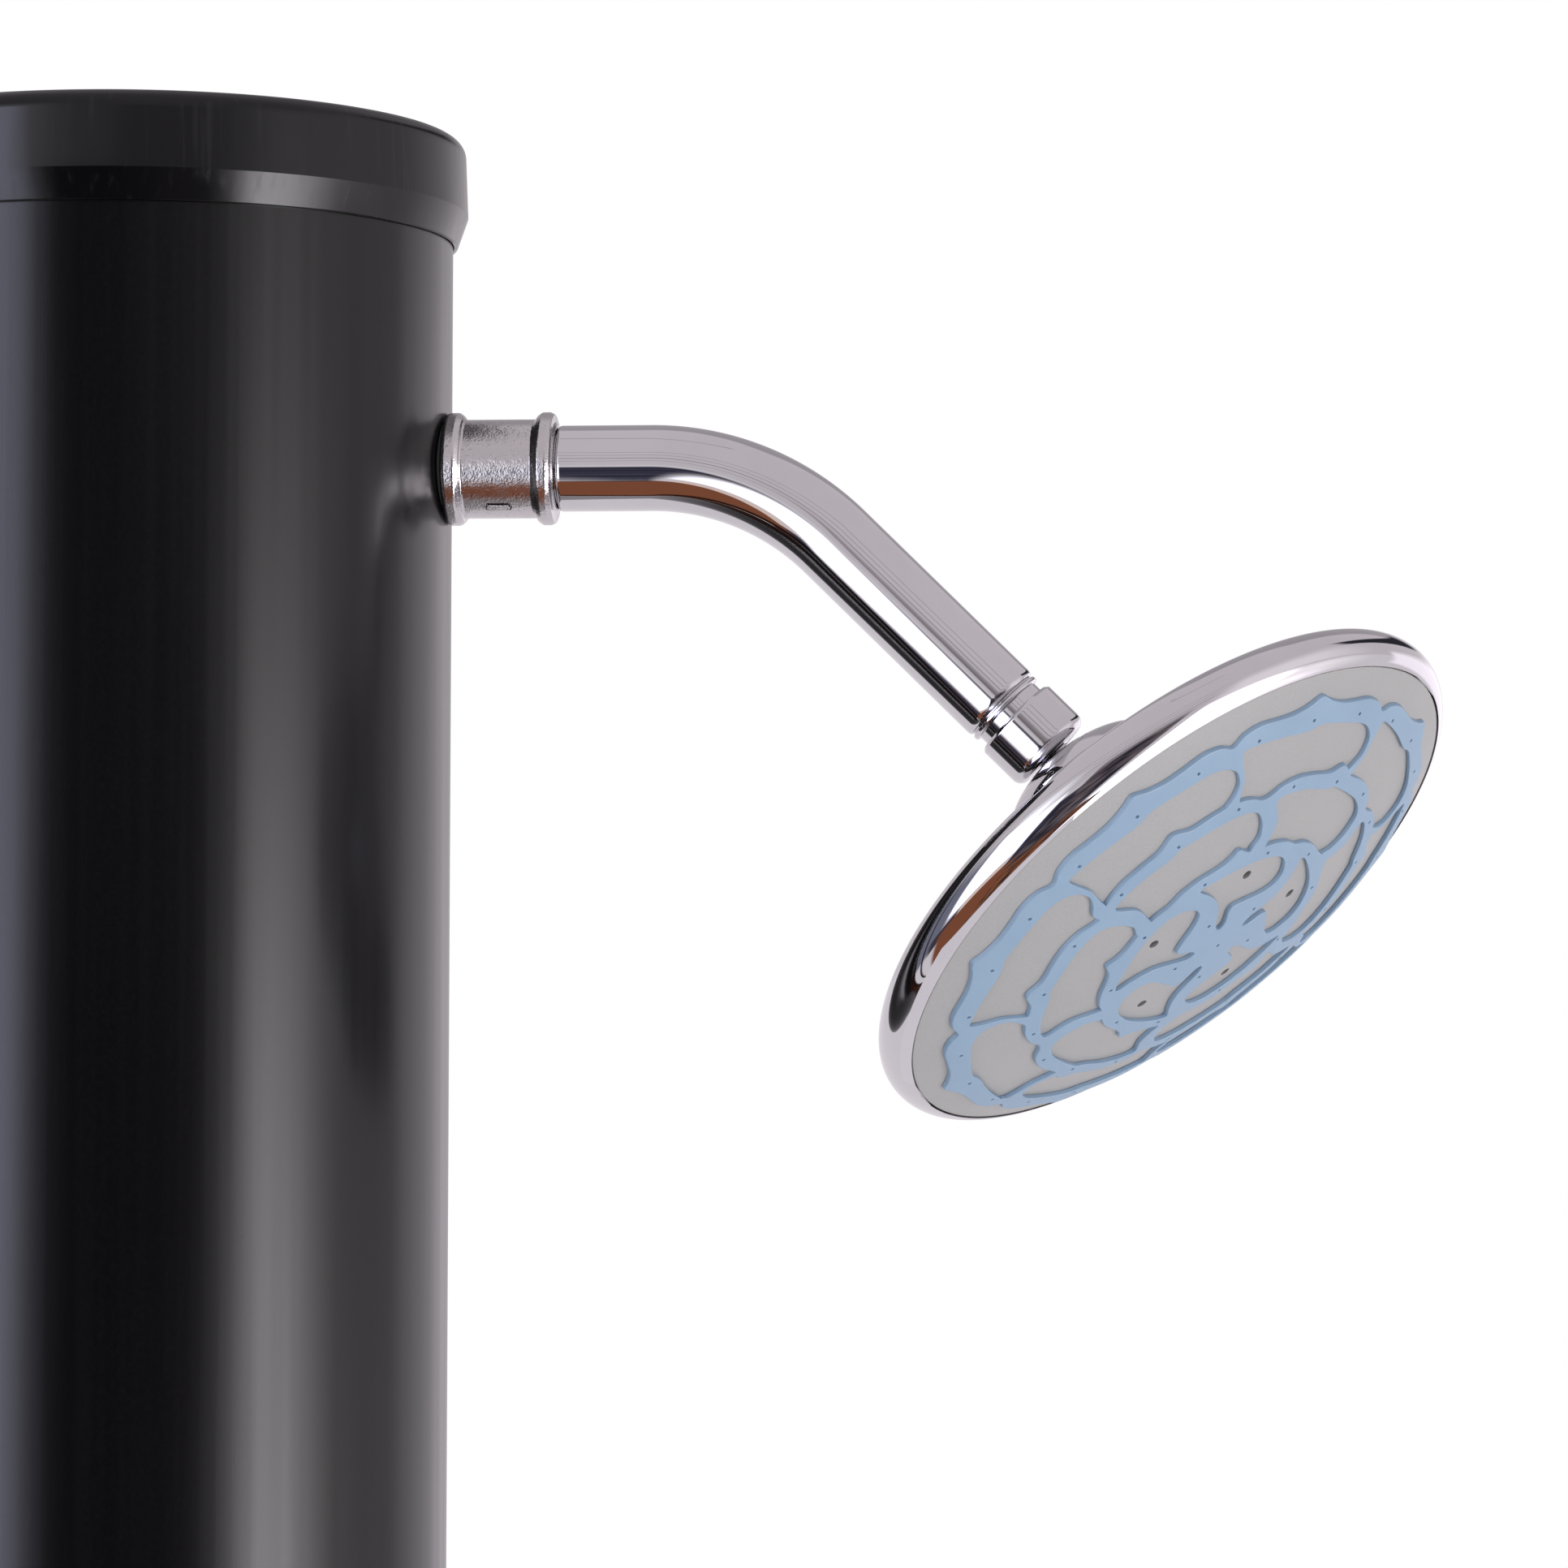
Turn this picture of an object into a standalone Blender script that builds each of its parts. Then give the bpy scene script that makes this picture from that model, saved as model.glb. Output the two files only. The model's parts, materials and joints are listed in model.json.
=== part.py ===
"""Free-standing solar shower: a black PVC column that is its own tank, on a ribbed base, with a hose inlet,
a drain, a foot tap, a single-lever mixer, and a chrome arm with a round rain head on a ball joint.

Metres, +Z up. The origin is the centre of the base's underside, and the arm points along +X.
Run with: blender --background --python part.py
"""

import math

import bmesh
import bpy
from mathutils import Matrix, Vector

# Fits
SEAT = 0.0003  # clearance where one piece seats on, in or over another
HOLE_PLAY = 0.0006  # play of a fitting in its hole through the tank's wall

# Roundness: facets round a full turn
TANK_STEPS = 32
HEAD_STEPS = 36
MIXER_STEPS = 20
BALL_STEPS = 20
BALL_ARC = 17  # degrees between the points of a spherical section
FITTING_STEPS = 16
SMALL_STEPS = 12
HEX = 6
FLAT = math.radians(0.2)  # faces that meet flatter than this are one face

# Tank
HEIGHT = 2.170
TUBE_RADIUS = 0.080
TUBE_WALL = 0.004
UNION_HEIGHT = 0.890  # where the two halves of the column meet
CLOSURE_HEIGHT = 0.084  # tank floor's upper side
CLOSURE_THICKNESS = 0.006
CLOSURE_SKIRT = 0.040

# Base plate
BASE_RADIUS = 0.170
BASE_THICKNESS = 0.010
BASE_EDGE = 0.003
COLLAR_WALL = 0.008
COLLAR_HEIGHT = 0.070
BASE_RIBS = 8
RIB_THICKNESS = 0.006
RIB_EDGE_INSET = 0.016
RIB_TOE = 0.005
RIB_TOP_DROP = 0.008
BOLT_CIRCLE_RADIUS = 0.140
BOLT_HOLE_RADIUS = 0.0055
BOLTS = 4

# End cap
CAP_DEPTH = 0.0274
CAP_TOP_RADIUS = 0.0786
CAP_EDGE_DROP = 0.0047
CAP_SHOULDER_OUT = 0.0033  # side just below the rounded edge, outside the tube
CAP_BAND_OUT = 0.0039  # side at its widest, outside the tube
CAP_BAND_DEPTH = 0.0197
CAP_LIP_OUT = 0.0012
CAP_CROWN = 0.0065

# Tube union
UNION_SLEEVE = 0.050
UNION_WALL = 0.008
UNION_LEDGE = 0.0077
UNION_SHOULDER = 0.003
UNION_SHOULDER_HEIGHT = 0.006
UNION_NUT_WALL = 0.0097
UNION_NUT_SKIRT = 0.044
UNION_NUT_LIP = 0.007
UNION_GRIPS = 12
UNION_GRIP_RADIUS = 0.007
UNION_GRIP_DEPTH = 0.003
SEAL_RADIUS = 0.0017
SEAL_GROOVE_DEPTH = 0.002

# Arm and outlet
ARM_DROP = 0.0861  # arm's axis below the cap's top
ARM_RADIUS = 0.0110
ARM_WALL = 0.0015
ARM_CORNER = 0.1599  # where the two straight runs would meet, from the tank's axis
ARM_BEND = math.radians(44.4)
ARM_BEND_RADIUS = 0.067
ARM_END = 0.0890  # slanted run, from that corner to the lip
ARM_SPIGOT_RADIUS = 0.0096
ARM_SPIGOT = 0.0100
ARM_LIP = 0.0009
OUTLET_THREAD = 0.0100
GASKET_INSET = 0.0006
GASKET_EDGE = 0.0009  # thinnest part of the gasket, on the tank's crest
SOCKET_START_RIM = 0.0042
SOCKET_BODY = 0.0176
SOCKET_END_RIM = 0.0063
SOCKET_BODY_RADIUS = 0.01265
SOCKET_RIM_RADIUS = 0.01445
SOCKET_THREAD_PLAY = 0.0003
NIPPLE_REACH = 0.0140
NIPPLE_BORE = 0.0070
TAIL_LENGTH = 0.0350  # how far the nipples reach into the tank from its axis side
HOSE_RADIUS = 0.0060

# Swivel, along the slanted run, from the ball's centre back toward the arm
BALL_REACH = 0.0310  # ball's centre beyond the arm's lip
BALL_RADIUS = 0.0105
NECK_RADIUS = 0.0046
SWIVEL_BORE = 0.0026
SWIVEL_NUT_START = 0.0284
SWIVEL_NUT_SHOULDER = 0.0184
SWIVEL_NUT_END = 0.0148
SWIVEL_NUT_RADIUS = 0.0117
SWIVEL_NUT_END_RADIUS = 0.0097
SWIVEL_THREAD = 0.0085

# Head, along its own axis, from the ball's centre toward the face
HEAD_DIRECTION = (0.5987, -0.3333, -0.7283)  # the way the face looks in the photographed pose
PLATE_PLANE = 0.0355
PLATE_RADIUS = 0.0809
PLATE_CROWN = 0.0156
PLATE_THICKNESS = 0.0025
PLATE_EDGE = 0.0023
PLATE_LIP = 0.0034
PLATE_PLAY = 0.0004
RIM_RADIUS = 0.0065
RIM_SETBACK = 0.0059
RIM_INSET = 0.0018
RIM_LIP_ANGLE = math.radians(70)
HUB_RADIUS = 0.0299
HUB_SETBACK = 0.0189
HUB_MOUTH = 0.0108
HUB_FOOT = 0.0275
HUB_FILLET = 0.0060
BACK_DROP = 0.0105  # how far the back's root at the hub stands behind the rim's back
SHELL_WALL = 0.0030
SEAT_THICKNESS = 0.0015
RETAINER_RADIUS = 0.0170
RETAINER_HEIGHT = 0.0112
RETAINER_HOLE = 0.0077
BORE_DEPTH = 0.0155
CHAMBER_RADIUS = 0.0765
GASKET_RING_THICKNESS = 0.0010
GASKET_RING_WIDTH = 0.0035

# Nozzle mat: flat pattern in millimetres and degrees, laid on the face's dome
MAT_HEIGHT = 0.0012
MAT_GAP = 0.00045
MM = 0.001
# Half a petal's edge, from its tip to the valley beside it: (degrees from the tip, radius)
OUTER_EDGE = ((0, 75.8), (2.7, 74.3), (6.8, 73.1), (11.3, 73.2), (15.8, 73.8), (19.8, 73.0), (22.5, 71.2))
MIDDLE_EDGE = ((0, 56.3), (5, 54.1), (12, 54.0), (18, 54.0), (24, 53.0), (30, 50.8))
INNER_EDGE = ((0, 37.0), (4, 35.2), (9, 34.3), (20, 34.5), (29, 34.3), (36, 33.5))
# One petal's opening, round its edge: (degrees from the tip, radius)
OUTER_CELL = (
    (20.2, 68.5), (17.8, 68.8), (9.8, 67.8), (1.8, 67.2), (-2.2, 68.2), (-15.2, 67.5), (-19.7, 66.5),
    (-22.7, 64.0), (-23.7, 60.0), (-22.2, 56.5), (-19.2, 53.5), (-18.0, 48.0), (21.0, 48.0), (21.0, 55.0),
    (19.8, 60.0),
)
MIDDLE_CELL = (
    (24.8, 49.0), (14.8, 50.0), (2.8, 49.5), (-0.2, 50.3), (-15.2, 49.5), (-22.2, 49.0), (-27.2, 47.5),
    (-30.2, 44.0), (-31.2, 41.0), (-31.2, 38.0), (-28.2, 35.0), (-26.0, 30.0), (24.0, 30.0), (23.3, 35.0),
    (21.8, 42.0),
)
INNER_CELL = (
    (33, 30.2), (20, 30.0), (0, 30.0), (-15, 29.8), (-24, 28.3), (-31, 25.0), (-33, 22.0), (-30, 19.5),
    (-22, 17.5), (-7, 16.0), (10, 15.3), (15, 13.5), (20, 10.5), (23, 14.0), (23, 19.0), (25, 22.0), (29, 26.0),
)
# Petals in a full turn, and the first tip's angle
OUTER_PETALS = (8, 17.5)
MIDDLE_PETALS = (6, 29.0)
INNER_PETALS = (5, 19.0)
# Rings of nozzles: (count, radius, first one's angle)
NOZZLE_RINGS = ((24, 69.9, 3.8), (18, 51.8, 9.0), (10, 31.9, 1.0), (5, 13.0, 44.0), (1, 0, 0))
NOZZLE_RADIUS = 0.55
NOZZLE_SIDES = 5
# Blind holes in the face plate: (count, radius, first one's angle)
PLATE_HOLES = (5, 24.4, 6.9)
PLATE_HOLE_RADIUS = 1.25
PLATE_HOLE_DEPTH = 0.0016

# Mixer, along +X from the tank's axis
MIXER_HEIGHT = 1.150
MIXER_PIVOT = 0.1200  # the lever's pivot
MIXER_RADIUS = 0.0250
MIXER_SHANK_RADIUS = 0.0215
MIXER_NECK_RADIUS = 0.0210
MIXER_NECK_START = 0.1180
MIXER_END = 0.1260
CARTRIDGE_RADIUS = 0.0172
CARTRIDGE_WALL = 0.0029
CARTRIDGE_DEPTH = 0.0280
CARRIER_BELOW = 0.0100
CARRIER_ABOVE = 0.0040
STEM_BALL_RADIUS = 0.0070
STEM_RADIUS = 0.0040
STEM_SCREW_HOLE = 0.0080
COVER_WALL = 0.0020
COVER_HOLE = 0.0155
ROSETTE_RADIUS = 0.0340
ROSETTE_FRONT = 0.0840
ROSETTE_EDGE = 0.0030
ROSETTE_BACK = 0.0700
LEVER_SHELL = 0.0047
LEVER_COVERS = math.radians(62)
LEVER_LENGTH = 0.0900
LEVER_WIDTH = 0.0130
LEVER_TIP_WIDTH = 0.0100
LEVER_THICKNESS = 0.0070
SCREW_HEAD_RADIUS = 0.0036
SCREW_HEAD = 0.0018
SCREW_SHANK_RADIUS = 0.0018
PLUG_RADIUS = 0.0050
PLUG_THICKNESS = 0.0012
HOSE_TAIL_RADIUS = 0.0045
HOSE_TAIL_SPREAD = 0.0090

# Foot tap, along +X from the tank's axis
FOOT_TAP_HEIGHT = 0.300
FOOT_TAP_STEM = 0.1060  # handle's axis
FOOT_TAP_THREAD = 0.0103
FOOT_TAP_FLANGE = 0.0170
FOOT_TAP_FLANGE_THICKNESS = 0.0045
FOOT_TAP_BARREL = 0.0100
FOOT_TAP_BOSS = 0.0115
FOOT_TAP_BOSS_TOP = 0.0240
FOOT_TAP_BONNET = 0.0090
FOOT_TAP_BONNET_RADIUS = 0.0115
SPOUT_REACH = 0.0280
SPOUT_DROP = 0.0380
SPOUT_RADIUS = 0.0090
SPOUT_BORE = 0.0062
SPOUT_BORE_DEPTH = 0.0220
SPINDLE_RADIUS = 0.0035
SPINDLE_FOOT = 0.0060
HANDLE_HUB = 0.0090
HANDLE_HEIGHT = 0.0100
HANDLE_LENGTH = 0.0440
HANDLE_WIDTH = 0.0120
HANDLE_THICKNESS = 0.0060

# Hose inlet at the back, and drain at the side
INLET_HEIGHT = 0.135
INLET_THREAD = 0.0132
INLET_FLANGE = 0.0190
INLET_FLANGE_THICKNESS = 0.0050
INLET_THREAD_LENGTH = 0.0120
INLET_BORE = 0.0060
CONNECTOR_COLLAR = 0.0170
CONNECTOR_COLLAR_LENGTH = 0.0170
CONNECTOR_NOSE = 0.0080
CONNECTOR_NOSE_LENGTH = 0.0240
CONNECTOR_GROOVE = 0.0012
DRAIN_HEIGHT = 0.112
DRAIN_THREAD = 0.0105
DRAIN_FLANGE = 0.0160
DRAIN_FLANGE_THICKNESS = 0.0040
DRAIN_PLUG_THREAD = 0.0066
DRAIN_HEAD = 0.0120
DRAIN_HEAD_THICKNESS = 0.0080
DRAIN_PLUG_LENGTH = 0.0140
LOCKNUT_THICKNESS = 0.0070
LOCKNUT_RIM = 0.0075  # hexagon's corners outside the thread

# Places that follow from the sizes above
TUBE_BORE = TUBE_RADIUS - TUBE_WALL
OVER_TUBE = TUBE_RADIUS + SEAT
TANK_FOOT = BASE_THICKNESS + SEAT
ARM_HEIGHT = HEIGHT - ARM_DROP
SOCKET_START = OVER_TUBE + GASKET_EDGE
SOCKET_END = SOCKET_START + SOCKET_START_RIM + SOCKET_BODY + SOCKET_END_RIM
ARM_DIRECTION = Vector((math.cos(ARM_BEND), 0, -math.sin(ARM_BEND)))
ARM_CORNER_POINT = Vector((ARM_CORNER, 0, ARM_HEIGHT))
BALL_CENTRE = ARM_CORNER_POINT + ARM_DIRECTION * (ARM_END + BALL_REACH)
PLATE_SPHERE = (PLATE_RADIUS**2 + PLATE_CROWN**2) / (2 * PLATE_CROWN)
PLATE_SPHERE_CENTRE = PLATE_PLANE + PLATE_CROWN - PLATE_SPHERE
HUB_CENTRE = PLATE_PLANE - HUB_SETBACK
# A faceted hollow is this much larger, so that its flats clear the round piece inside it.
FACET_ROOM = 1 / (math.cos(math.pi / BALL_STEPS) * math.cos(math.radians(BALL_ARC) / 2))
SEAT_SPHERE = (BALL_RADIUS + SEAT) * FACET_ROOM
CAVITY_SPHERE = (SEAT_SPHERE + SEAT_THICKNESS + SEAT) * FACET_ROOM
COVER_ROOM = (MIXER_RADIUS + SEAT) * FACET_ROOM


def new_collection(name):
    collection = bpy.data.collections.new(name)
    bpy.context.scene.collection.children.link(collection)
    return collection


def material(name, colour, roughness, metallic=0.0):
    made = bpy.data.materials.new(name)
    made.use_nodes = True
    shader = made.node_tree.nodes["Principled BSDF"]
    shader.inputs["Base Color"].default_value = (*colour, 1)
    shader.inputs["Roughness"].default_value = roughness
    shader.inputs["Metallic"].default_value = metallic
    return made


def link(mesh, name, place=None, parent=None):
    """A new object in the part's collection, at a place in the world."""
    obj = bpy.data.objects.new(name, mesh)
    PARTS.objects.link(obj)
    if place is not None:
        obj.matrix_world = place
    if parent is not None:
        obj.parent = parent
        obj.matrix_parent_inverse = parent.matrix_world.inverted()
    return obj


def as_helper(obj):
    """Turns an object into a cutter that no render shows."""
    PARTS.objects.unlink(obj)
    CUTTERS.objects.link(obj)
    obj.hide_render = True
    obj.display_type = "WIRE"
    return obj


def turned(name, profile, place, steps=FITTING_STEPS, parent=None):
    """A turned piece from (radius, height) points round its section, about the place's Z axis."""
    around = zip(profile, profile[1:] + profile[:1])
    area = sum(a[0] * b[1] - b[0] * a[1] for a, b in around)
    points = list(reversed(profile)) if area > 0 else list(profile)
    on_axis = [i for i, point in enumerate(points) if point[0] == 0]
    closed = not on_axis
    if on_axis:
        first = next(i for i in on_axis if points[i - 1][0] == 0)
        points = points[first:] + points[:first]
    mesh = bpy.data.meshes.new(name)
    edges = [(i, i + 1) for i in range(len(points) - 1)]
    if closed:
        edges.append((len(points) - 1, 0))
    mesh.from_pydata([(radius, 0, height) for radius, height in points], edges, [])
    obj = link(mesh, name, place, parent)
    screw = obj.modifiers.new("Turn", "SCREW")
    screw.steps = steps
    screw.render_steps = steps
    screw.use_merge_vertices = True
    screw.merge_threshold = 0.00001
    screw.use_smooth_shade = True
    return obj


def made_mesh(obj):
    """The object's evaluated mesh as its own object, with its caps welded; the first object goes."""
    bpy.context.view_layer.update()
    graph = bpy.context.evaluated_depsgraph_get()
    mesh = bpy.data.meshes.new_from_object(obj.evaluated_get(graph))
    bm = bmesh.new()
    bm.from_mesh(mesh)
    bmesh.ops.remove_doubles(bm, verts=bm.verts, dist=0.00001)
    bmesh.ops.dissolve_limit(bm, angle_limit=FLAT, verts=bm.verts, edges=bm.edges)
    bmesh.ops.recalc_face_normals(bm, faces=bm.faces)
    bm.to_mesh(mesh)
    bm.free()
    name = obj.name
    place = obj.matrix_world.copy()
    bpy.data.objects.remove(obj)
    mesh.name = name
    return link(mesh, name, place)


def prism(name, outlines, low, high, place):
    """A flat outline, or several side by side, between two heights above the place's XY plane."""
    curve = bpy.data.curves.new(name, "CURVE")
    curve.dimensions = "2D"
    curve.fill_mode = "BOTH"
    curve.extrude = (high - low) / 2
    for outline in outlines:
        spline = curve.splines.new("POLY")
        spline.points.add(len(outline) - 1)
        for point, (x, y) in zip(spline.points, outline):
            point.co = (x, y, 0, 1)
        spline.use_cyclic_u = True
    return made_mesh(link(curve, name, place @ Matrix.Translation((0, 0, (low + high) / 2))))


def pipe(name, route, radius, sides=2):
    """A round rod along a route of points in the world, with closed ends."""
    curve = bpy.data.curves.new(name, "CURVE")
    curve.dimensions = "3D"
    curve.bevel_depth = radius
    curve.bevel_resolution = sides
    curve.use_fill_caps = True
    spline = curve.splines.new("POLY")
    spline.points.add(len(route) - 1)
    for point, co in zip(spline.points, route):
        point.co = (*co, 1)
    return made_mesh(link(curve, name, Matrix.Identity(4)))


def cylinder(name, radius, low, high, place, steps=FITTING_STEPS):
    return turned(name, [(0, low), (0, high), (radius, high), (radius, low)], place, steps)


def boolean(target, other, operation):
    step = target.modifiers.new(operation.title(), "BOOLEAN")
    step.operation = operation
    step.solver = "EXACT"
    step.object = as_helper(other)


def cut(target, *others):
    for other in others:
        boolean(target, other, "DIFFERENCE")


def fuse(target, *others):
    for other in others:
        boolean(target, other, "UNION")


def copies_round(obj, count, place):
    """Copies of a mesh about the place's Z axis, as one mesh with separate bodies."""
    whole = bmesh.new()
    into = place.inverted() @ obj.matrix_world
    for i in range(count):
        first = len(whole.verts)
        whole.from_mesh(obj.data)
        whole.verts.ensure_lookup_table()
        turn = Matrix.Rotation(2 * math.pi * i / count, 4, "Z")
        bmesh.ops.transform(whole, matrix=place @ turn @ into, verts=whole.verts[first:])
    mesh = bpy.data.meshes.new(obj.name)
    whole.to_mesh(mesh)
    whole.free()
    name = obj.name
    bpy.data.objects.remove(obj)
    return link(mesh, name)


def arc(centre, radius, start, end, count):
    """Points of an arc in a section, by angle from the outward direction."""
    steps = [start + (end - start) * i / (count - 1) for i in range(count)]
    return [(centre[0] + radius * math.cos(t), centre[1] + radius * math.sin(t)) for t in steps]


def smooth_route(points, per_span):
    """A smooth curve through the points of a route, whose first and last spans stay straight."""
    points = [Vector(p) for p in points]
    route = [points[0]]
    for a, b, c, d in zip(points, points[1:], points[2:], points[3:]):
        for i in range(per_span):
            t = i / per_span
            route.append(
                0.5 * (2 * b + (c - a) * t + (2 * a - 5 * b + 4 * c - d) * t**2 + (3 * b - a - 3 * c + d) * t**3)
            )
    return [*route, points[-2], points[-1]]


def along(direction, point):
    """A place at a point of the world, with its Z axis along a direction."""
    turn = Vector(direction).to_track_quat("Z", "Y").to_matrix().to_4x4()
    return Matrix.Translation(point) @ turn


UPRIGHT = Matrix.Identity(4)


def tank_space(name, height):
    """The space of the tank's tube near a fitting, a little wider than the tube."""
    return cylinder(name, OVER_TUBE, height - 0.06, height + 0.06, UPRIGHT, TANK_STEPS)


def saddle(name, outer, hole, front, place, height):
    """A rubber gasket or rosette with a flat front whose back follows the tube."""
    piece = turned(name, ring(outer, hole, TUBE_RADIUS - 0.006, front), place)
    cut(piece, tank_space(name + "_tank", height))
    return piece


def ring(outer, inner, low, high):
    return [(outer, high), (outer, low), (inner, low), (inner, high)]


def locknut(name, thread, place):
    """A hexagonal nut on a fitting's thread, tight against the inside of the tube."""
    corner = thread + LOCKNUT_RIM
    face = math.sqrt(TUBE_BORE**2 - corner**2) - SEAT
    across = 1 / math.cos(math.pi / HEX)
    profile = ring(corner, (thread + SEAT) * across, face - LOCKNUT_THICKNESS, face)
    return turned(name, profile, place, HEX)


def wall_hole(tube, name, radius, place):
    cut(tube, cylinder(name, radius + HOLE_PLAY, TUBE_BORE - 0.01, TUBE_RADIUS + 0.01, place))


def base_plate():
    collar = OVER_TUBE + COLLAR_WALL
    edge = BASE_RADIUS - BASE_EDGE
    profile = [
        (0, 0), (BASE_RADIUS, 0), (BASE_RADIUS, BASE_THICKNESS - BASE_EDGE), (edge, BASE_THICKNESS),
        (collar, BASE_THICKNESS), (collar, COLLAR_HEIGHT - BASE_EDGE), (collar - BASE_EDGE, COLLAR_HEIGHT),
        (OVER_TUBE, COLLAR_HEIGHT), (OVER_TUBE, BASE_THICKNESS), (0, BASE_THICKNESS),
    ]
    base = turned("base_plate", profile, UPRIGHT, TANK_STEPS)
    toe = BASE_RADIUS - RIB_EDGE_INSET
    root = OVER_TUBE + COLLAR_WALL / 2
    below = BASE_THICKNESS / 2
    outline = [
        (root, below), (toe, below), (toe, BASE_THICKNESS + RIB_TOE),
        (collar, COLLAR_HEIGHT - RIB_TOP_DROP), (root, COLLAR_HEIGHT - RIB_TOP_DROP),
    ]
    first = Matrix.Rotation(math.pi / BASE_RIBS, 4, "Z") @ Matrix.Rotation(math.pi / 2, 4, "X")
    rib = prism("base_ribs", [outline], -RIB_THICKNESS / 2, RIB_THICKNESS / 2, first)
    fuse(base, copies_round(rib, BASE_RIBS, UPRIGHT))
    at = math.pi / BOLTS
    first_bolt = (BOLT_CIRCLE_RADIUS * math.cos(at), BOLT_CIRCLE_RADIUS * math.sin(at), 0)
    bolt = cylinder("bolt_holes", BOLT_HOLE_RADIUS, -0.01, 0.03, Matrix.Translation(first_bolt), SMALL_STEPS)
    cut(base, copies_round(made_mesh(bolt), BOLTS, UPRIGHT))
    base.data.materials.append(BLACK_PLASTIC)


def bottom_closure():
    outer = TUBE_BORE - SEAT
    inner = outer - TUBE_WALL
    floor = CLOSURE_HEIGHT - CLOSURE_THICKNESS
    profile = [
        (0, CLOSURE_HEIGHT), (outer, CLOSURE_HEIGHT), (outer, floor - CLOSURE_SKIRT),
        (inner, floor - CLOSURE_SKIRT), (inner, floor), (0, floor),
    ]
    turned("bottom_closure", profile, UPRIGHT, TANK_STEPS).data.materials.append(TANK_BLACK)


def tubes():
    """The two halves of the column, with the holes for what goes through them."""
    top = HEIGHT - CAP_CROWN - SEAT
    half = UNION_LEDGE + SEAT
    lower = turned("lower_tube", ring(TUBE_RADIUS, TUBE_BORE, TANK_FOOT, UNION_HEIGHT - half), UPRIGHT, TANK_STEPS)
    upper = turned("upper_tube", ring(TUBE_RADIUS, TUBE_BORE, UNION_HEIGHT + half, top), UPRIGHT, TANK_STEPS)
    wall_hole(lower, "inlet_hole", INLET_THREAD, BACK_INLET)
    wall_hole(lower, "drain_hole", DRAIN_THREAD, SIDE_DRAIN)
    wall_hole(lower, "foot_tap_hole", FOOT_TAP_THREAD, FRONT_FOOT_TAP)
    wall_hole(upper, "mixer_hole", MIXER_SHANK_RADIUS, FRONT_MIXER)
    wall_hole(upper, "outlet_hole", OUTLET_THREAD, FRONT_OUTLET)
    for tube in (lower, upper):
        tube.data.materials.append(TANK_BLACK)


def end_cap():
    lip = HEIGHT - CAP_DEPTH
    shoulder = TUBE_RADIUS + CAP_SHOULDER_OUT
    edge_in = shoulder - CAP_TOP_RADIUS
    edge = [
        (CAP_TOP_RADIUS + edge_in * math.sin(t), HEIGHT - CAP_EDGE_DROP * (1 - math.cos(t)))
        for t in (math.radians(a) for a in (0, 30, 60, 90))
    ]
    profile = [
        (0, HEIGHT), *edge, (TUBE_RADIUS + CAP_BAND_OUT, HEIGHT - CAP_BAND_DEPTH),
        (TUBE_RADIUS + CAP_LIP_OUT, lip), (OVER_TUBE, lip), (OVER_TUBE, HEIGHT - CAP_CROWN),
        (0, HEIGHT - CAP_CROWN),
    ]
    turned("end_cap", profile, UPRIGHT, TANK_STEPS).data.materials.append(CAP_BLACK)


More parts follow.
